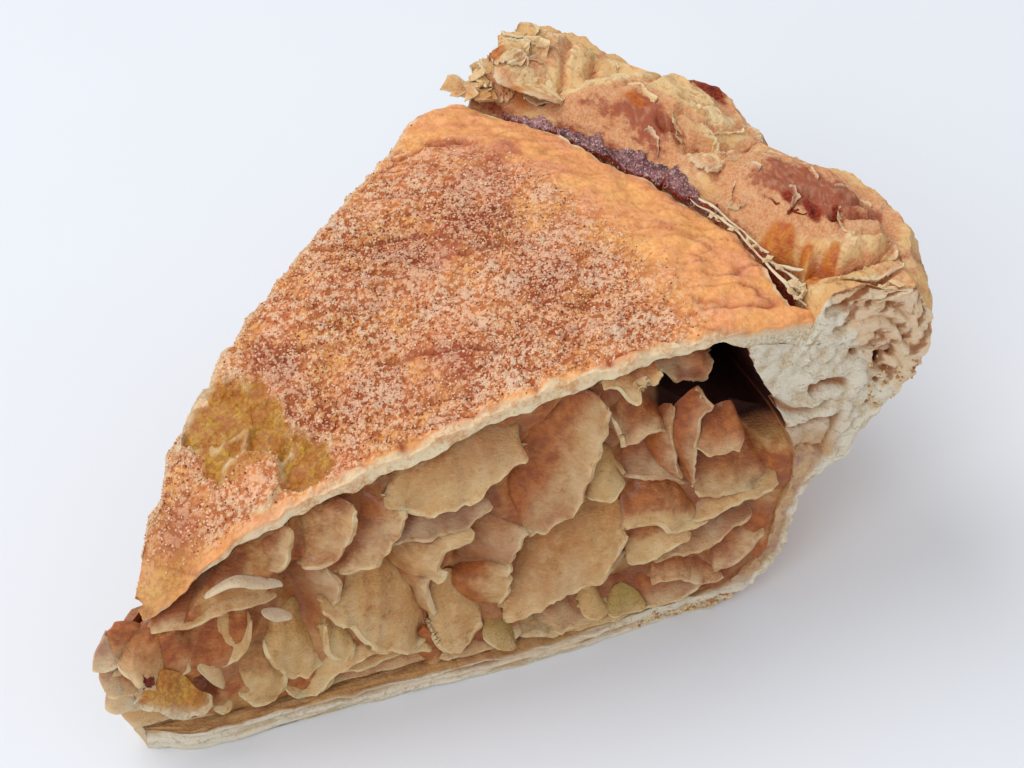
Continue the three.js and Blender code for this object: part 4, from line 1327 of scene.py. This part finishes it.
# Slices around the tip: lower edge, upper edge and looks. Their places are (distance from the pie's
# middle along the slice, sideways, height)
TIP_SLICES = [
    ([(6.5, -4, 14), (1, -2.4, 12.6), (-1.4, 0, 12), (0.6, 2.4, 13)],
     [(6, -3, 17.5), (1.4, -1.8, 17.8), (-0.8, 0, 18), (1.2, 2.2, 17.6)],
     {"tone": 0.2, "pink": 0.3, "torn": 2.0}),
    ([(5, -3, 17), (1.6, -2, 16.6), (-0.8, -0.4, 16.4), (0.6, 2, 17)],
     [(6.6, -2.6, 23.4), (2.6, -1.4, 24), (0.4, 0.2, 23.8), (2.4, 2.4, 23)],
     {"tone": 0.2, "glaze": 0.1, "torn": 2.0}),
    ([(2.4, -2.2, 9.6), (-0.6, -1.4, 8.6), (-2.1, 0, 9), (-0.4, 1.6, 9.2), (3, 3, 10.2)],
     [(3.4, -1.8, 13.4), (0.4, -0.8, 14), (-0.9, 0.2, 14.2), (0.8, 1.6, 13.8), (3.6, 2.8, 13.2)],
     {"tone": 0.0, "glaze": -0.3, "white": 0.25, "torn": 2.2}),
    ([(7, -4.2, 4.6), (3.4, -2.8, 4.4), (0.4, -1, 4.6), (0.2, 1.6, 5)],
     [(6.4, -3.6, 9), (3, -2.2, 9.8), (-0.2, 0, 10), (0.6, 1.8, 9.6)],
     {"tone": 0.2, "glaze": 0.0}),
    ([(4, -2.6, 8.6), (1, -1.8, 8.2), (-1, 0.4, 8.6)],
     [(4, -2.2, 13), (1.4, -1.2, 13.6), (-0.6, 0.6, 13.2)],
     {"tone": 0.6, "glaze": 0.1}),
    ([(8, 4.2, 5), (3.4, 2.8, 4.8), (0.4, 0.6, 5.2)],
     [(9, 4.8, 13), (3, 3, 13.4), (0, 0.8, 13)],
     {"tone": 0.5, "pink": 0.2}),
    ([(10, 5, 12), (4, 3.4, 12), (0, 1, 12.4)],
     [(11, 5, 20.5), (4.6, 3.2, 21.4), (0.8, 1, 21)],
     {"tone": 0.3, "glaze": 0.15}),
    ([(1.2, -1.6, 13.6), (-1.2, -0.9, 12.8), (-2.2, 0.2, 13.2), (-0.6, 1.8, 13.6), (3.2, 3, 14.4)],
     [(2, -1, 17.8), (0, -0.4, 18.6), (-0.8, 0.4, 18.8), (1, 1.8, 18.2), (3.8, 2.8, 17.6)],
     {"tone": 0.15, "pink": 0.15, "white": 0.15, "torn": 2.2}),
    ([(0.6, -1.2, 18.2), (-1.4, -0.5, 17.4), (-1.9, 0.4, 17.8), (-0.2, 1.8, 18.4), (3.4, 3, 19)],
     [(1.6, -0.8, 22.4), (0.2, -0.2, 23), (-0.4, 0.4, 23), (1.4, 1.8, 22.6), (4, 2.8, 22)],
     {"tone": 0.05, "glaze": -0.2, "white": 0.25, "torn": 2.2}),
]


TIP_SLICE_THICKNESS = 1.2
TIP_OUTWARDS = np.array([-1.0, 0, 0])
# Where the noise starts for the sheets of each list
FIRST_SEEDS = {"near": 3.7, "tip": 61.3, "flaps": 31.7, "strands": 41.3}


def near_slices():
    return [
        face_slice(front, back, depths, thickness, NEAR, FIRST_SEEDS["near"] + 1.3 * number, **looks)
        for number, (front, back, depths, thickness, looks) in enumerate(NEAR_SLICES)
    ]


def tip_slices():
    forms = []
    for number, (lower, upper, looks) in enumerate(TIP_SLICES):
        edges = [np.array(edge, float) + [PIE_MIDDLE_X, 0, 0] for edge in (lower, upper)]
        seed = FIRST_SEEDS["tip"] + number
        forms.append(apple_slice(*edges, TIP_SLICE_THICKNESS, TIP_OUTWARDS, seed, **looks))
    return forms


# The hollow at the near cut face has slices only between two heights from this radius on
OPEN_FROM = 74
OPEN_SLICES = (24, 33)


def slice_edges(centre, rise, length, width, sag, way):
    """Front and back edges of a slice that lies at an angle of rise, its front edge sagging."""
    along, up = np.array([np.cos(rise), np.sin(rise)]), way * np.array([-np.sin(rise), np.cos(rise)])
    front, back = [], []
    for share in (-0.5, -0.17, 0.17, 0.5):
        bowed = 1 - (2 * share) ** 2
        place = centre + along * length * share
        front.append(place - up * sag * bowed)
        back.append(place + up * width * (0.55 + 0.45 * bowed) + along * 1.5)
    return front, back


def has_room(side, radius, height, width, listed):
    """Whether a slice fits under the roof, clear of the wall, the hollow and the listed slices."""
    angle = side * HALF_ANGLE
    roof = roof_height(radius, angle) - 0.75 * sunk_depth(radius, angle)
    if height + 0.5 * width > roof - 0.4 or radius > wall_radius(height) - 4:
        return False
    if side == NEAR and radius > OPEN_FROM and (height < OPEN_SLICES[0] or height > OPEN_SLICES[1]):
        return False
    if listed is None:
        return True
    here = slice_point(radius, angle, height)[None]
    return not np.any(listed.cover[listed.cells(here)] > 0.4)


def packed_slices(side, lay_depth, seed, listed=None):
    """Rows of slices over a cut face, overlapping upwards, that leave out what listed ones cover."""
    draw = np.random.default_rng(seed)
    forms = []
    for row, row_height in enumerate(np.arange(6.5, 50, 4.6)):
        for row_radius in np.arange(9 + 5 * (row % 2), 96, 10.5):
            radius = row_radius + draw.uniform(-3.5, 3.5)
            height = row_height + draw.uniform(-2, 2)
            length, width = draw.uniform(12, 22), draw.uniform(7.5, 11)
            rise, sag = draw.normal(0.4, 0.25), draw.uniform(-2, 3)
            looks = {
                "tone": draw.uniform(0, 0.9), "pink": max(0, draw.uniform(-0.8, 0.7)),
                "glaze": draw.uniform(0, 0.5), "green": max(0, draw.uniform(-1.2, 0.3)),
            }
            thickness, reach = draw.uniform(1.8, 2.8), draw.uniform(-1.1, 0.6)
            way = draw.choice([1, -1], p=[0.9, 0.1])
            if not has_room(side, radius, height, width, listed):
                continue
            edges = slice_edges(np.array([radius, height]), rise, length, width, sag, way)
            edges = [within_filling(edge, side) for edge in edges]
            depths = (reach + lay_depth, 3.6 + lay_depth)
            forms.append(face_slice(*edges, depths, thickness, side, draw.uniform(0, 90), **looks))
    return forms


def within_filling(edge, side):
    """Edge places kept between the base, the wall, the tip and the roof."""
    kept = []
    for radius, height in edge:
        height = float(np.clip(height, FILLING_FLOOR + 0.6, 52))
        radius = float(np.clip(radius, 1.0, wall_radius(height) - 1.2))
        angle = side * HALF_ANGLE
        roof = roof_height(radius, angle) - 0.7 * sunk_depth(radius, angle)
        kept.append((radius, float(min(height, roof - 0.3))))
    return kept


# Burnt juice and flakes of pastry

# The burnt juice: front and back edges as (radius, degrees), and how far each stands off
BURNT_STRIP = {
    "front": [(97.2, 18.4), (97, 13), (97.2, 7.5), (97.8, 2.7), (98.2, -2.2), (98.7, -6.4)],
    "back": [(99.6, 18.6), (100.2, 14), (100, 9.7), (100.4, 5.1), (100.4, 1.2), (99.8, -2.9), (99.1, -6.6)],
    "lifts": (1.3, 0.15),
}
# Draped sheets stay under one height and hang at most another below what is highest beneath them
FLAPS_UNDER = 60
FLAPS_HANG = 4
DRAPED_GRID = closed_box(evenly(40), evenly(10), evenly(1))
STRIP_GRID = closed_box(evenly(110), evenly(12), evenly(2))
FLAKE_GRID = closed_box(evenly(14), evenly(6), evenly(1))


def draped(front, back, lifts, view, seed, ragged=0.7, thickness=0.5, box=DRAPED_GRID):
    """A thin sheet that lies on what is below it, between two edges as (radius, degrees)."""
    grid, faces = box
    s, t, w = grid.T
    rounded = (1 - np.abs(2 * s - 1) ** 4) ** 0.4
    share = 0.5 + (t - 0.5) * lerp(0.1, 1, rounded)
    edges = []
    for edge in (front, back):
        radius, degrees = np.array(edge, float).T
        edges.append(slice_point(radius, np.radians(degrees), 0))
    points = lerp(spline(edges[0], s), spline(edges[1], s), share[:, None])
    waves = stacked(*(fractal(points, 3.4, 3, seed + 9 * k) for k in range(3)))
    at_edge = np.maximum(np.exp(-t / 0.3), np.exp(-(1 - t) / 0.3))
    points = points + ragged * (at_edge[:, None] * waves * [1, 1, 0])
    lift = lerp(*lifts, t) + 0.3 * ragged * waves[:, 2] * (1 - t)
    below = view.height(points)
    points[:, 2] = np.maximum(below, below.max() - FLAPS_HANG) + lift
    sunk = thickness * w * lerp(0.5, 1, smoothstep(t, 0, 0.3))
    points[:, 2] -= np.maximum(points[:, 2] - FLAPS_UNDER, 0) + sunk
    return points, faces, s, t


def burnt_strip(view):
    """Juice that boiled up through the crack and burnt along the foot of the rim."""
    points, faces, _, t = draped(
        **BURNT_STRIP, view=view, seed=5.5, ragged=0.9, thickness=1.4, box=STRIP_GRID,
    )
    points[:, 2] += 0.45 * fractal(points, 1.2, 3)
    return Form(points, faces, amber=np.clip(1.1 - 4.5 * t, 0, 1), grainy=1.0)


# Loose flakes: radius, degrees, height, spreads of the three in millimetres, how upright they are,
# number, sizes, thickness and looks
FLAKES = [
    (104, 21.7, 54.8, (4.2, 1.0, 1.9), 0.8, 46, (0.8, 1.8), 0.9,
     {"creamy": 0.25, "glaze": 0.3, "toast": 0.1}),
    (99.8, 21.4, 54.4, (1.6, 1.6, 0.7), 0.5, 18, (0.8, 1.9), 0.5,
     {"creamy": 0.1, "glaze": 0.5}),
    (98, 22.3, 55, (1.2, 0.8, 0.3), 0.12, 4, (2.2, 3.8), 0.25,
     {"toast": 0.45, "creamy": 0.1}),
    (109.6, -21.9, 55, (4, 0.5, 0.6), 0.1, 8, (0.8, 1.6), 0.25,
     {"toast": 0.4, "creamy": 0.6}),
    (3.0, -44, 16.6, (0.5, 0.3, 0.7), 1.0, 14, (0.4, 0.9), 0.5,
     {"burnt": 1.0, "glaze": 0.6}),
    (98.8, -18.8, 53.8, (0.9, 2.4, 0.6), 0.4, 12, (0.5, 1.1), 0.3,
     {"creamy": 0.9, "crumb": 0.3}),
    (98.3, -11.5, 54.1, (0.5, 8, 0.3), 0.2, 16, (0.3, 0.7), 0.2,
     {"creamy": 0.9, "crumb": 0.3}),
]
NO_LOOKS = dict.fromkeys(("toast", "burnt", "glaze", "creamy", "stain", "crumb", "layer", "crumbs"), 0.0)


def flake(draw, centre, rise, sizes, thickness, looks):
    """One flake at a random turn, as upright as rise says."""
    along = draw.normal(size=3) * [0.8, 1.4, rise]
    size = draw.uniform(*sizes)
    along *= size / np.linalg.norm(along)
    up = draw.normal(size=3) * 0.4 + UP
    up /= np.linalg.norm(up)
    across = np.cross(up, along) * draw.uniform(0.5, 1.0)
    lean = draw.uniform(-0.6, 0.6)
    edges = [
        [centre + along * (share + lean * way * 0.5) + across * way * draw.uniform(0.5, 1)
         for share in (-1, -0.3, 0.4, 1)]
        for way in (-0.9, 0.9)
    ]
    points, faces, _, t = sheet(
        *edges, thickness, up, draw.uniform(0, 90), belly=0.2 * size, ruffle=0.3 * size,
        box=FLAKE_GRID, ends=(30, 12), lip=0.1 * size,
    )
    return Form(points, faces, **(NO_LOOKS | looks | {"layer": 0.8 * bell(from_ends(t), 0.12)}))


def pastry_flakes():
    draw = np.random.default_rng(8)
    forms = []
    for radius, degrees, height, spreads, rise, number, sizes, thickness, looks in FLAKES:
        for _ in range(number):
            outwards, sideways, upwards = draw.uniform(-1, 1, 3) * spreads
            angle = np.radians(degrees) + sideways / radius
            centre = slice_point(radius + outwards, angle, height + upwards)
            forms.append(flake(draw, centre, rise, sizes, thickness, looks))
    return forms


# Peeled layers on the rim: front and back edges as (radius, degrees), how far each stands off, looks
FLAPS = [
    ([(101, 21), (100.2, 18.6), (100, 16.4), (99.8, 13.6)],
     [(107, 21.4), (107.6, 18.8), (107, 16.4), (104, 13.4)],
     (1.6, 0.1), {"creamy": 0.7}),
    ([(103.6, 22), (103, 20.6), (103.4, 18.8)],
     [(110, 22), (110.4, 20.6), (109.6, 18.8)],
     (1.6, 0.1), {"creamy": 0.6}),
    ([(101.6, -0.8), (101, -2.4), (101.4, -4.2)],
     [(105.6, -0.8), (106.4, -2.6), (105.4, -4.4)],
     (0.9, 0.0), {"creamy": 1.0}),
    ([(104, -20.6), (108, -20.8), (113, -20.6)],
     [(104.6, -19.4), (108.6, -19.3), (114, -19.4)],
     (0.5, 0.0), {"creamy": 0.3}),
]
# Peeled layers at random places: number, radii, degrees, lengths, widths and how far their edges stand off
PEELINGS = [
    (26, (102, 117), (-19, 21), (2.5, 7), (1.4, 3), (0.2, 0.5)),
    (14, (101, 113), (18.5, 22.3), (2.5, 6), (1.5, 3), (0.6, 1.7)),
]


def peelings():
    """Random peeled layers all over the rim and at its torn end, in the same terms as the listed ones."""
    draw = np.random.default_rng(17)
    groups = itertools.chain.from_iterable([group[1:]] * group[0] for group in PEELINGS)
    for radii, angles, lengths, widths, lifts in groups:
        radius, degrees = draw.uniform(*radii), draw.uniform(*angles)
        length, width = draw.uniform(*lengths), draw.uniform(*widths)
        turn, facing = draw.normal() * 0.5, draw.choice([-1, 1])
        edges = []
        for way in (-facing, facing):
            steps = np.linspace(-0.5, 0.5, 4)
            bowed = 0.7 - 1.2 * steps**2
            outwards = np.sin(turn) * length * steps + np.cos(turn) * way * width * bowed
            around = np.cos(turn) * length * steps - np.sin(turn) * way * width * 0.5
            edges.append(stacked(radius + outwards, degrees + np.degrees(around / radius)))
        yield *edges, (draw.uniform(*lifts), -1.3), {"toast": draw.uniform(-0.3, 0.3)}


# Pale torn strands along the crack and over its hole: (radius, degrees, height) places and a width
STRANDS = [
    ([(98, -4, 54.2), (98.4, -8, 54.4), (98.3, -12, 54.3), (98, -15.5, 54.1), (98.2, -19, 53.9),
      (99.4, -21.4, 53.4)], 0.28),
    ([(98.6, -4.5, 54.5), (99, -8, 54.7), (98.9, -11.5, 54.5), (99.3, -13.8, 54.4)], 0.25),
    ([(98.2, -14.4, 54.2), (99.1, -15.2, 54.4), (100.1, -16.2, 54.6), (101.2, -17.4, 55)], 0.5),
    ([(98.7, -14.8, 54.3), (99.7, -16.4, 53.8), (100.4, -18.2, 53.6)], 0.45),
    ([(98.3, -16.9, 53.9), (99.6, -17.8, 53), (101, -18.8, 53.2)], 0.45),
    ([(98.6, -19.6, 53.8), (100, -18.8, 53.2), (101.8, -19.2, 54.8)], 0.3),
]


def torn_strands():
    forms = []
    for number, (places, width) in enumerate(STRANDS):
        radius, degrees, height = np.array(places, float).T
        line = slice_point(radius, np.radians(degrees), height)
        along = np.gradient(line, axis=0)
        widths = width * (1 + 0.7 * np.sin(2.3 * np.arange(len(places)) + number))[:, None]
        sideways = np.cross(along, UP) / np.linalg.norm(along, axis=1, keepdims=True) * widths / 2
        points, faces, *_ = sheet(
            line - sideways, line + sideways, 0.25, UP, FIRST_SEEDS["strands"] + number,
            belly=0.1, ruffle=0.45, box=DRAPED_GRID, ends=(6, 3), lip=0.05,
        )
        points[:, 2] -= 0.35
        forms.append(Form(points, faces, **(NO_LOOKS | {"creamy": 0.9, "crumb": 0.4, "layer": 0.8})))
    return forms


def peeled_flaps(view):
    """The listed and the random peeled layers, each with the looks of the rim below it and its own."""
    forms = []
    for number, (front, back, lifts, looks) in enumerate(itertools.chain(FLAPS, peelings())):
        points, faces, s, t = draped(front, back, lifts, view, FIRST_SEEDS["flaps"] + number)
        x, y, height = points.T
        radius, angle = np.hypot(x - PIE_MIDDLE_X, y), np.arctan2(y, x - PIE_MIDDLE_X)
        own = pastry_looks(radius, angle, height, 0 * t, 0 * t + 1, 0 * t) | {"layer": 0.0, "crumbs": 0.0}
        own = {name: value + looks.get(name, 0) for name, value in own.items()}
        own["layer"] = bell(t, 0.14) + 0.6 * bell(from_ends(s), 0.03)
        own["layer"] = own["layer"] * np.clip(1 - own["burnt"] - own["glaze"], 0, 1)
        forms.append(Form(points, faces, **own))
    return forms


# The orange flake that leans against the tip: its lower and upper edges as (radius, height) places
# beside the near face
TIP_FLAKE = {
    "lower": [(0.4, 13.1), (2.8, 12.2), (6.6, 8.5), (9.4, 9.2), (11.6, 10.4)],
    "upper": [(3, 15.2), (5.5, 17.6), (8.3, 15), (11.4, 11.6)],
}


def tip_flake():
    edges = [face_edge(TIP_FLAKE[edge], NEAR, depth) for edge, depth in (("lower", -3.2), ("upper", -1.9))]
    points, faces, s, t = sheet(
        *edges, 0.8, -face_inward(NEAR), 2.2, belly=0.5, ruffle=0.8, box=STRIP_GRID, pleats=0.6,
    )
    torn = 0.08 * noise(points, 1.1, 3.3)
    rim = bell(t + torn, 0.2) + bell(from_ends(s) + 0.5 * torn, 0.07)
    looks = {"sugar": 0.1, "toast": 0.1, "flaked": 0.95, "juice": 0.0, "crease": 0.0, "crumb": 0.0}
    return Form(points, faces, edge=np.clip(rim, 0, 1), lip=0.0, **looks)


# Grains

GRAIN_INPUTS = {
    "Where": "NodeSocketString", "Per square metre": "NodeSocketFloat", "Smallest": "NodeSocketFloat",
    "Largest": "NodeSocketFloat", "Seed": "NodeSocketInt", "Finish": "NodeSocketMaterial",
}


def grain_scatter():
    """Grains on a surface, as dense as one of its named values says."""
    tree = bpy.data.node_groups.new("grain_scatter", "GeometryNodeTree")
    tree.interface.new_socket("Geometry", in_out="INPUT", socket_type="NodeSocketGeometry")
    for name, kind in GRAIN_INPUTS.items():
        tree.interface.new_socket(name, in_out="INPUT", socket_type=kind)
    tree.interface.new_socket("Geometry", in_out="OUTPUT", socket_type="NodeSocketGeometry")
    n = Nodes(tree)
    given = tree.nodes.new("NodeGroupInput")
    inputs = {socket.name: Socket(n, socket) for socket in given.outputs if socket.name}
    where = n.node("GeometryNodeInputNamedAttribute", {"data_type": "FLOAT"}, {"Name": inputs["Where"]})
    density = where * inputs["Per square metre"]
    spread = {"Mesh": inputs["Geometry"], "Density": density, "Seed": inputs["Seed"]}
    points = n.node("GeometryNodeDistributePointsOnFaces", {}, spread)
    grain = n.node("GeometryNodeMeshIcoSphere", {}, {"Radius": 0.5, "Subdivisions": 1})
    sizes = {"Min": inputs["Smallest"], "Max": inputs["Largest"], "Seed": 1}
    size = n.node("FunctionNodeRandomValue", {"data_type": "FLOAT"}, sizes)
    shape = n.node("FunctionNodeRandomValue", {"data_type": "FLOAT_VECTOR"},
                   {"Min": (0.6, 0.6, 0.6), "Max": (1.3, 1.3, 1.3), "Seed": 2})
    turn = n.node("FunctionNodeRandomValue", {"data_type": "FLOAT_VECTOR"},
                  {"Min": (0, 0, 0), "Max": (2 * np.pi,) * 3, "Seed": 3})
    scale = n.node("ShaderNodeVectorMath", {"operation": "SCALE"}, {"Vector": shape, "Scale": size})
    placed = n.node("GeometryNodeInstanceOnPoints", {},
                    {"Points": points, "Instance": grain, "Rotation": turn, "Scale": scale})
    real = n.node("GeometryNodeRealizeInstances", {}, {"Geometry": placed})
    done = n.node("GeometryNodeSetMaterial", {}, {"Geometry": real, "Material": inputs["Finish"]})
    n.node("NodeGroupOutput", {}, {"Geometry": done})
    return tree


def grains(name, scatter, host, where, per_mm2, sizes, seed, finish):
    """The grains on a host piece as a plain mesh of their own."""
    source = linked(name, host.data)
    modifier = source.modifiers.new("grains", "NODES")
    modifier.node_group = scatter
    values = {
        "Where": where, "Per square metre": per_mm2 / MM**2, "Smallest": sizes[0] * MM,
        "Largest": sizes[1] * MM, "Seed": seed, "Finish": finish,
    }
    for item in scatter.interface.items_tree:
        if item.name in values:
            modifier[item.identifier] = values[item.name]
    mesh = bpy.data.meshes.new_from_object(source.evaluated_get(bpy.context.evaluated_depsgraph_get()))
    bpy.data.objects.remove(source)
    mesh.name = name
    return linked(name, mesh)


# Stage

FLOOR = {"half_width": 900.0, "height": -0.02}
# Lights by name: place, width and power. Both point at the middle of the slice
LIGHTS = {"window": ((-620, 900, 1700), 1500, 19), "side": ((-1500, -500, 1100), 900, 9)}
LIGHT_TARGET = (0, 0, 25)
CAMERA = {"azimuth": -39.59, "elevation": 40.14, "lens": 59.46, "distance": 268.07}
CAMERA_TARGET = (76.41 + PIE_MIDDLE_X, 8.33, 20)


def floor_finish():
    f = Finish("pale_floor")
    base = f.mix(f.noise(60, 2), "e6e9ef", "e9ecf2")
    return f.done({"Base Color": base, "Roughness": 0.6})


def pale_floor():
    half, level = FLOOR["half_width"], FLOOR["height"]
    corners = [(-half, -half, level), (half, -half, level), (half, half, level), (-half, half, level)]
    mesh = bpy.data.meshes.new("floor")
    mesh.from_pydata((np.array(corners) * MM).tolist(), [], [[0, 1, 2, 3]])
    mesh.materials.append(floor_finish())
    floor = linked("floor", mesh)


def area_light(name, place, size, power):
    data = bpy.data.lights.new(name, "AREA")
    data.shape = "DISK"
    data.size = size * MM
    data.energy = power
    light = linked(name, data)
    light.location = Vector(place) * MM
    light.rotation_euler = (Vector(LIGHT_TARGET) - Vector(place)).to_track_quat("-Z", "Y").to_euler()


def studio_light():
    world = bpy.data.worlds.new("studio")
    world.use_nodes = True
    background = world.node_tree.nodes["Background"]
    background.inputs["Color"].default_value = (0.95, 0.975, 1.0, 1)
    background.inputs["Strength"].default_value = 0.62
    bpy.context.scene.world = world
    for name, (place, size, power) in LIGHTS.items():
        area_light(name, place, size, power)
    bpy.context.scene.view_settings.view_transform = "Standard"


def camera():
    azimuth, elevation = np.radians(CAMERA["azimuth"]), np.radians(CAMERA["elevation"])
    back = Vector((
        np.sin(azimuth) * np.cos(elevation), -np.cos(azimuth) * np.cos(elevation), np.sin(elevation),
    ))
    data = bpy.data.cameras.new("camera")
    data.sensor_width = 36
    data.lens = CAMERA["lens"]
    data.clip_start, data.clip_end = 0.01, 10
    made = linked("camera", data)
    made.location = (Vector(CAMERA_TARGET) + back * CAMERA["distance"]) * MM
    made.rotation_mode = "QUATERNION"
    made.rotation_quaternion = (-back).to_track_quat("-Z", "Y")
    bpy.context.scene.camera = made


# The slice put together


def place_piece(piece, slot, *nodes):
    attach(piece, "root")
    if nodes:
        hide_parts(*nodes)


camera()
studio_light()
pale_floor()

pastry, crusted, apple = baked_pastry(), sugared_crust(), cooked_apple()

crust = crust_part(section_steps((0, 3, 45), (3, 8, 50)), 100, 24)
rim = crust_part(section_steps((8, 12, 40), (12, 17, 116)), 168, 52)
lid_form = top_crust()
view = TopView([rim, lid_form])
crust, rim = crust.piece("bottom_crust_pastry", pastry), rim.piece("crimped_rim", pastry)
for part in (crust, rim):
    place_piece(part, "pastry", "bottom_crust")
strip = burnt_strip(view).piece("burnt_juice_strip", burnt_juice())
place_piece(strip, "pastry")
loose = Form.joined(pastry_flakes() + peeled_flaps(view) + torn_strands())
place_piece(loose.piece("pastry_flakes", pastry), "pastry")

lid = lid_form.piece("sugared_top_crust", crusted)
place_piece(lid, "browned_crust", "top_crust")
place_piece(tip_flake().piece("tip_flake", crusted), "browned_crust")

listed = near_slices()
packed = packed_slices(NEAR, 0.8, 21, Relief(listed, NEAR))
shown = {NEAR: listed + packed + tip_slices(), FAR: packed_slices(FAR, 0.0, 22)}
reliefs = [Relief(forms, side) for side, forms in shown.items()]
for name, forms, relief in zip(("near_apple_slices", "far_apple_slices"), shown.values(), reliefs):
    slices = Form.joined(forms)
    # Painted shade on the slices where they lie behind what is around them.
    slices.values["recess"] = relief.behind(slices.points)
    place_piece(slices.piece(name, apple), "cooked_apple", "apple_filling")
place_piece(sauce_core(reliefs).piece("filling_core", apple), "cooked_apple", "apple_filling")

scatter = grain_scatter()
sugar_grains = grain_finish("sugar_grains", "f0c6a2", "dc9870", 0.45)
crumb_grains = grain_finish("crumb_grains", "e3c797", "b07c48", 0.7)
burnt_grains = grain_finish("burnt_grains", "d6aaa4", "5c2a2c", 0.3)
cinnamon_grains = grain_finish("cinnamon_grains", "a4532f", "7a3020", 0.7)
place_piece(grains("sugar_grains", scatter, lid, "sugar", 4.5, (0.2, 0.5), 4, sugar_grains), "browned_crust")
place_piece(grains("cinnamon_grains", scatter, lid, "sugar", 1.2, (0.15, 0.36), 5, cinnamon_grains),
            "browned_crust")
place_piece(grains("burnt_grains", scatter, strip, "grainy", 3, (0.12, 0.34), 6, burnt_grains), "pastry")
for number, (name, part) in enumerate((("foot_crumbs", crust), ("rim_crumbs", rim))):
    place_piece(grains(name, scatter, part, "crumbs", 4, (0.2, 0.75), 7 + number, crumb_grains), "pastry")
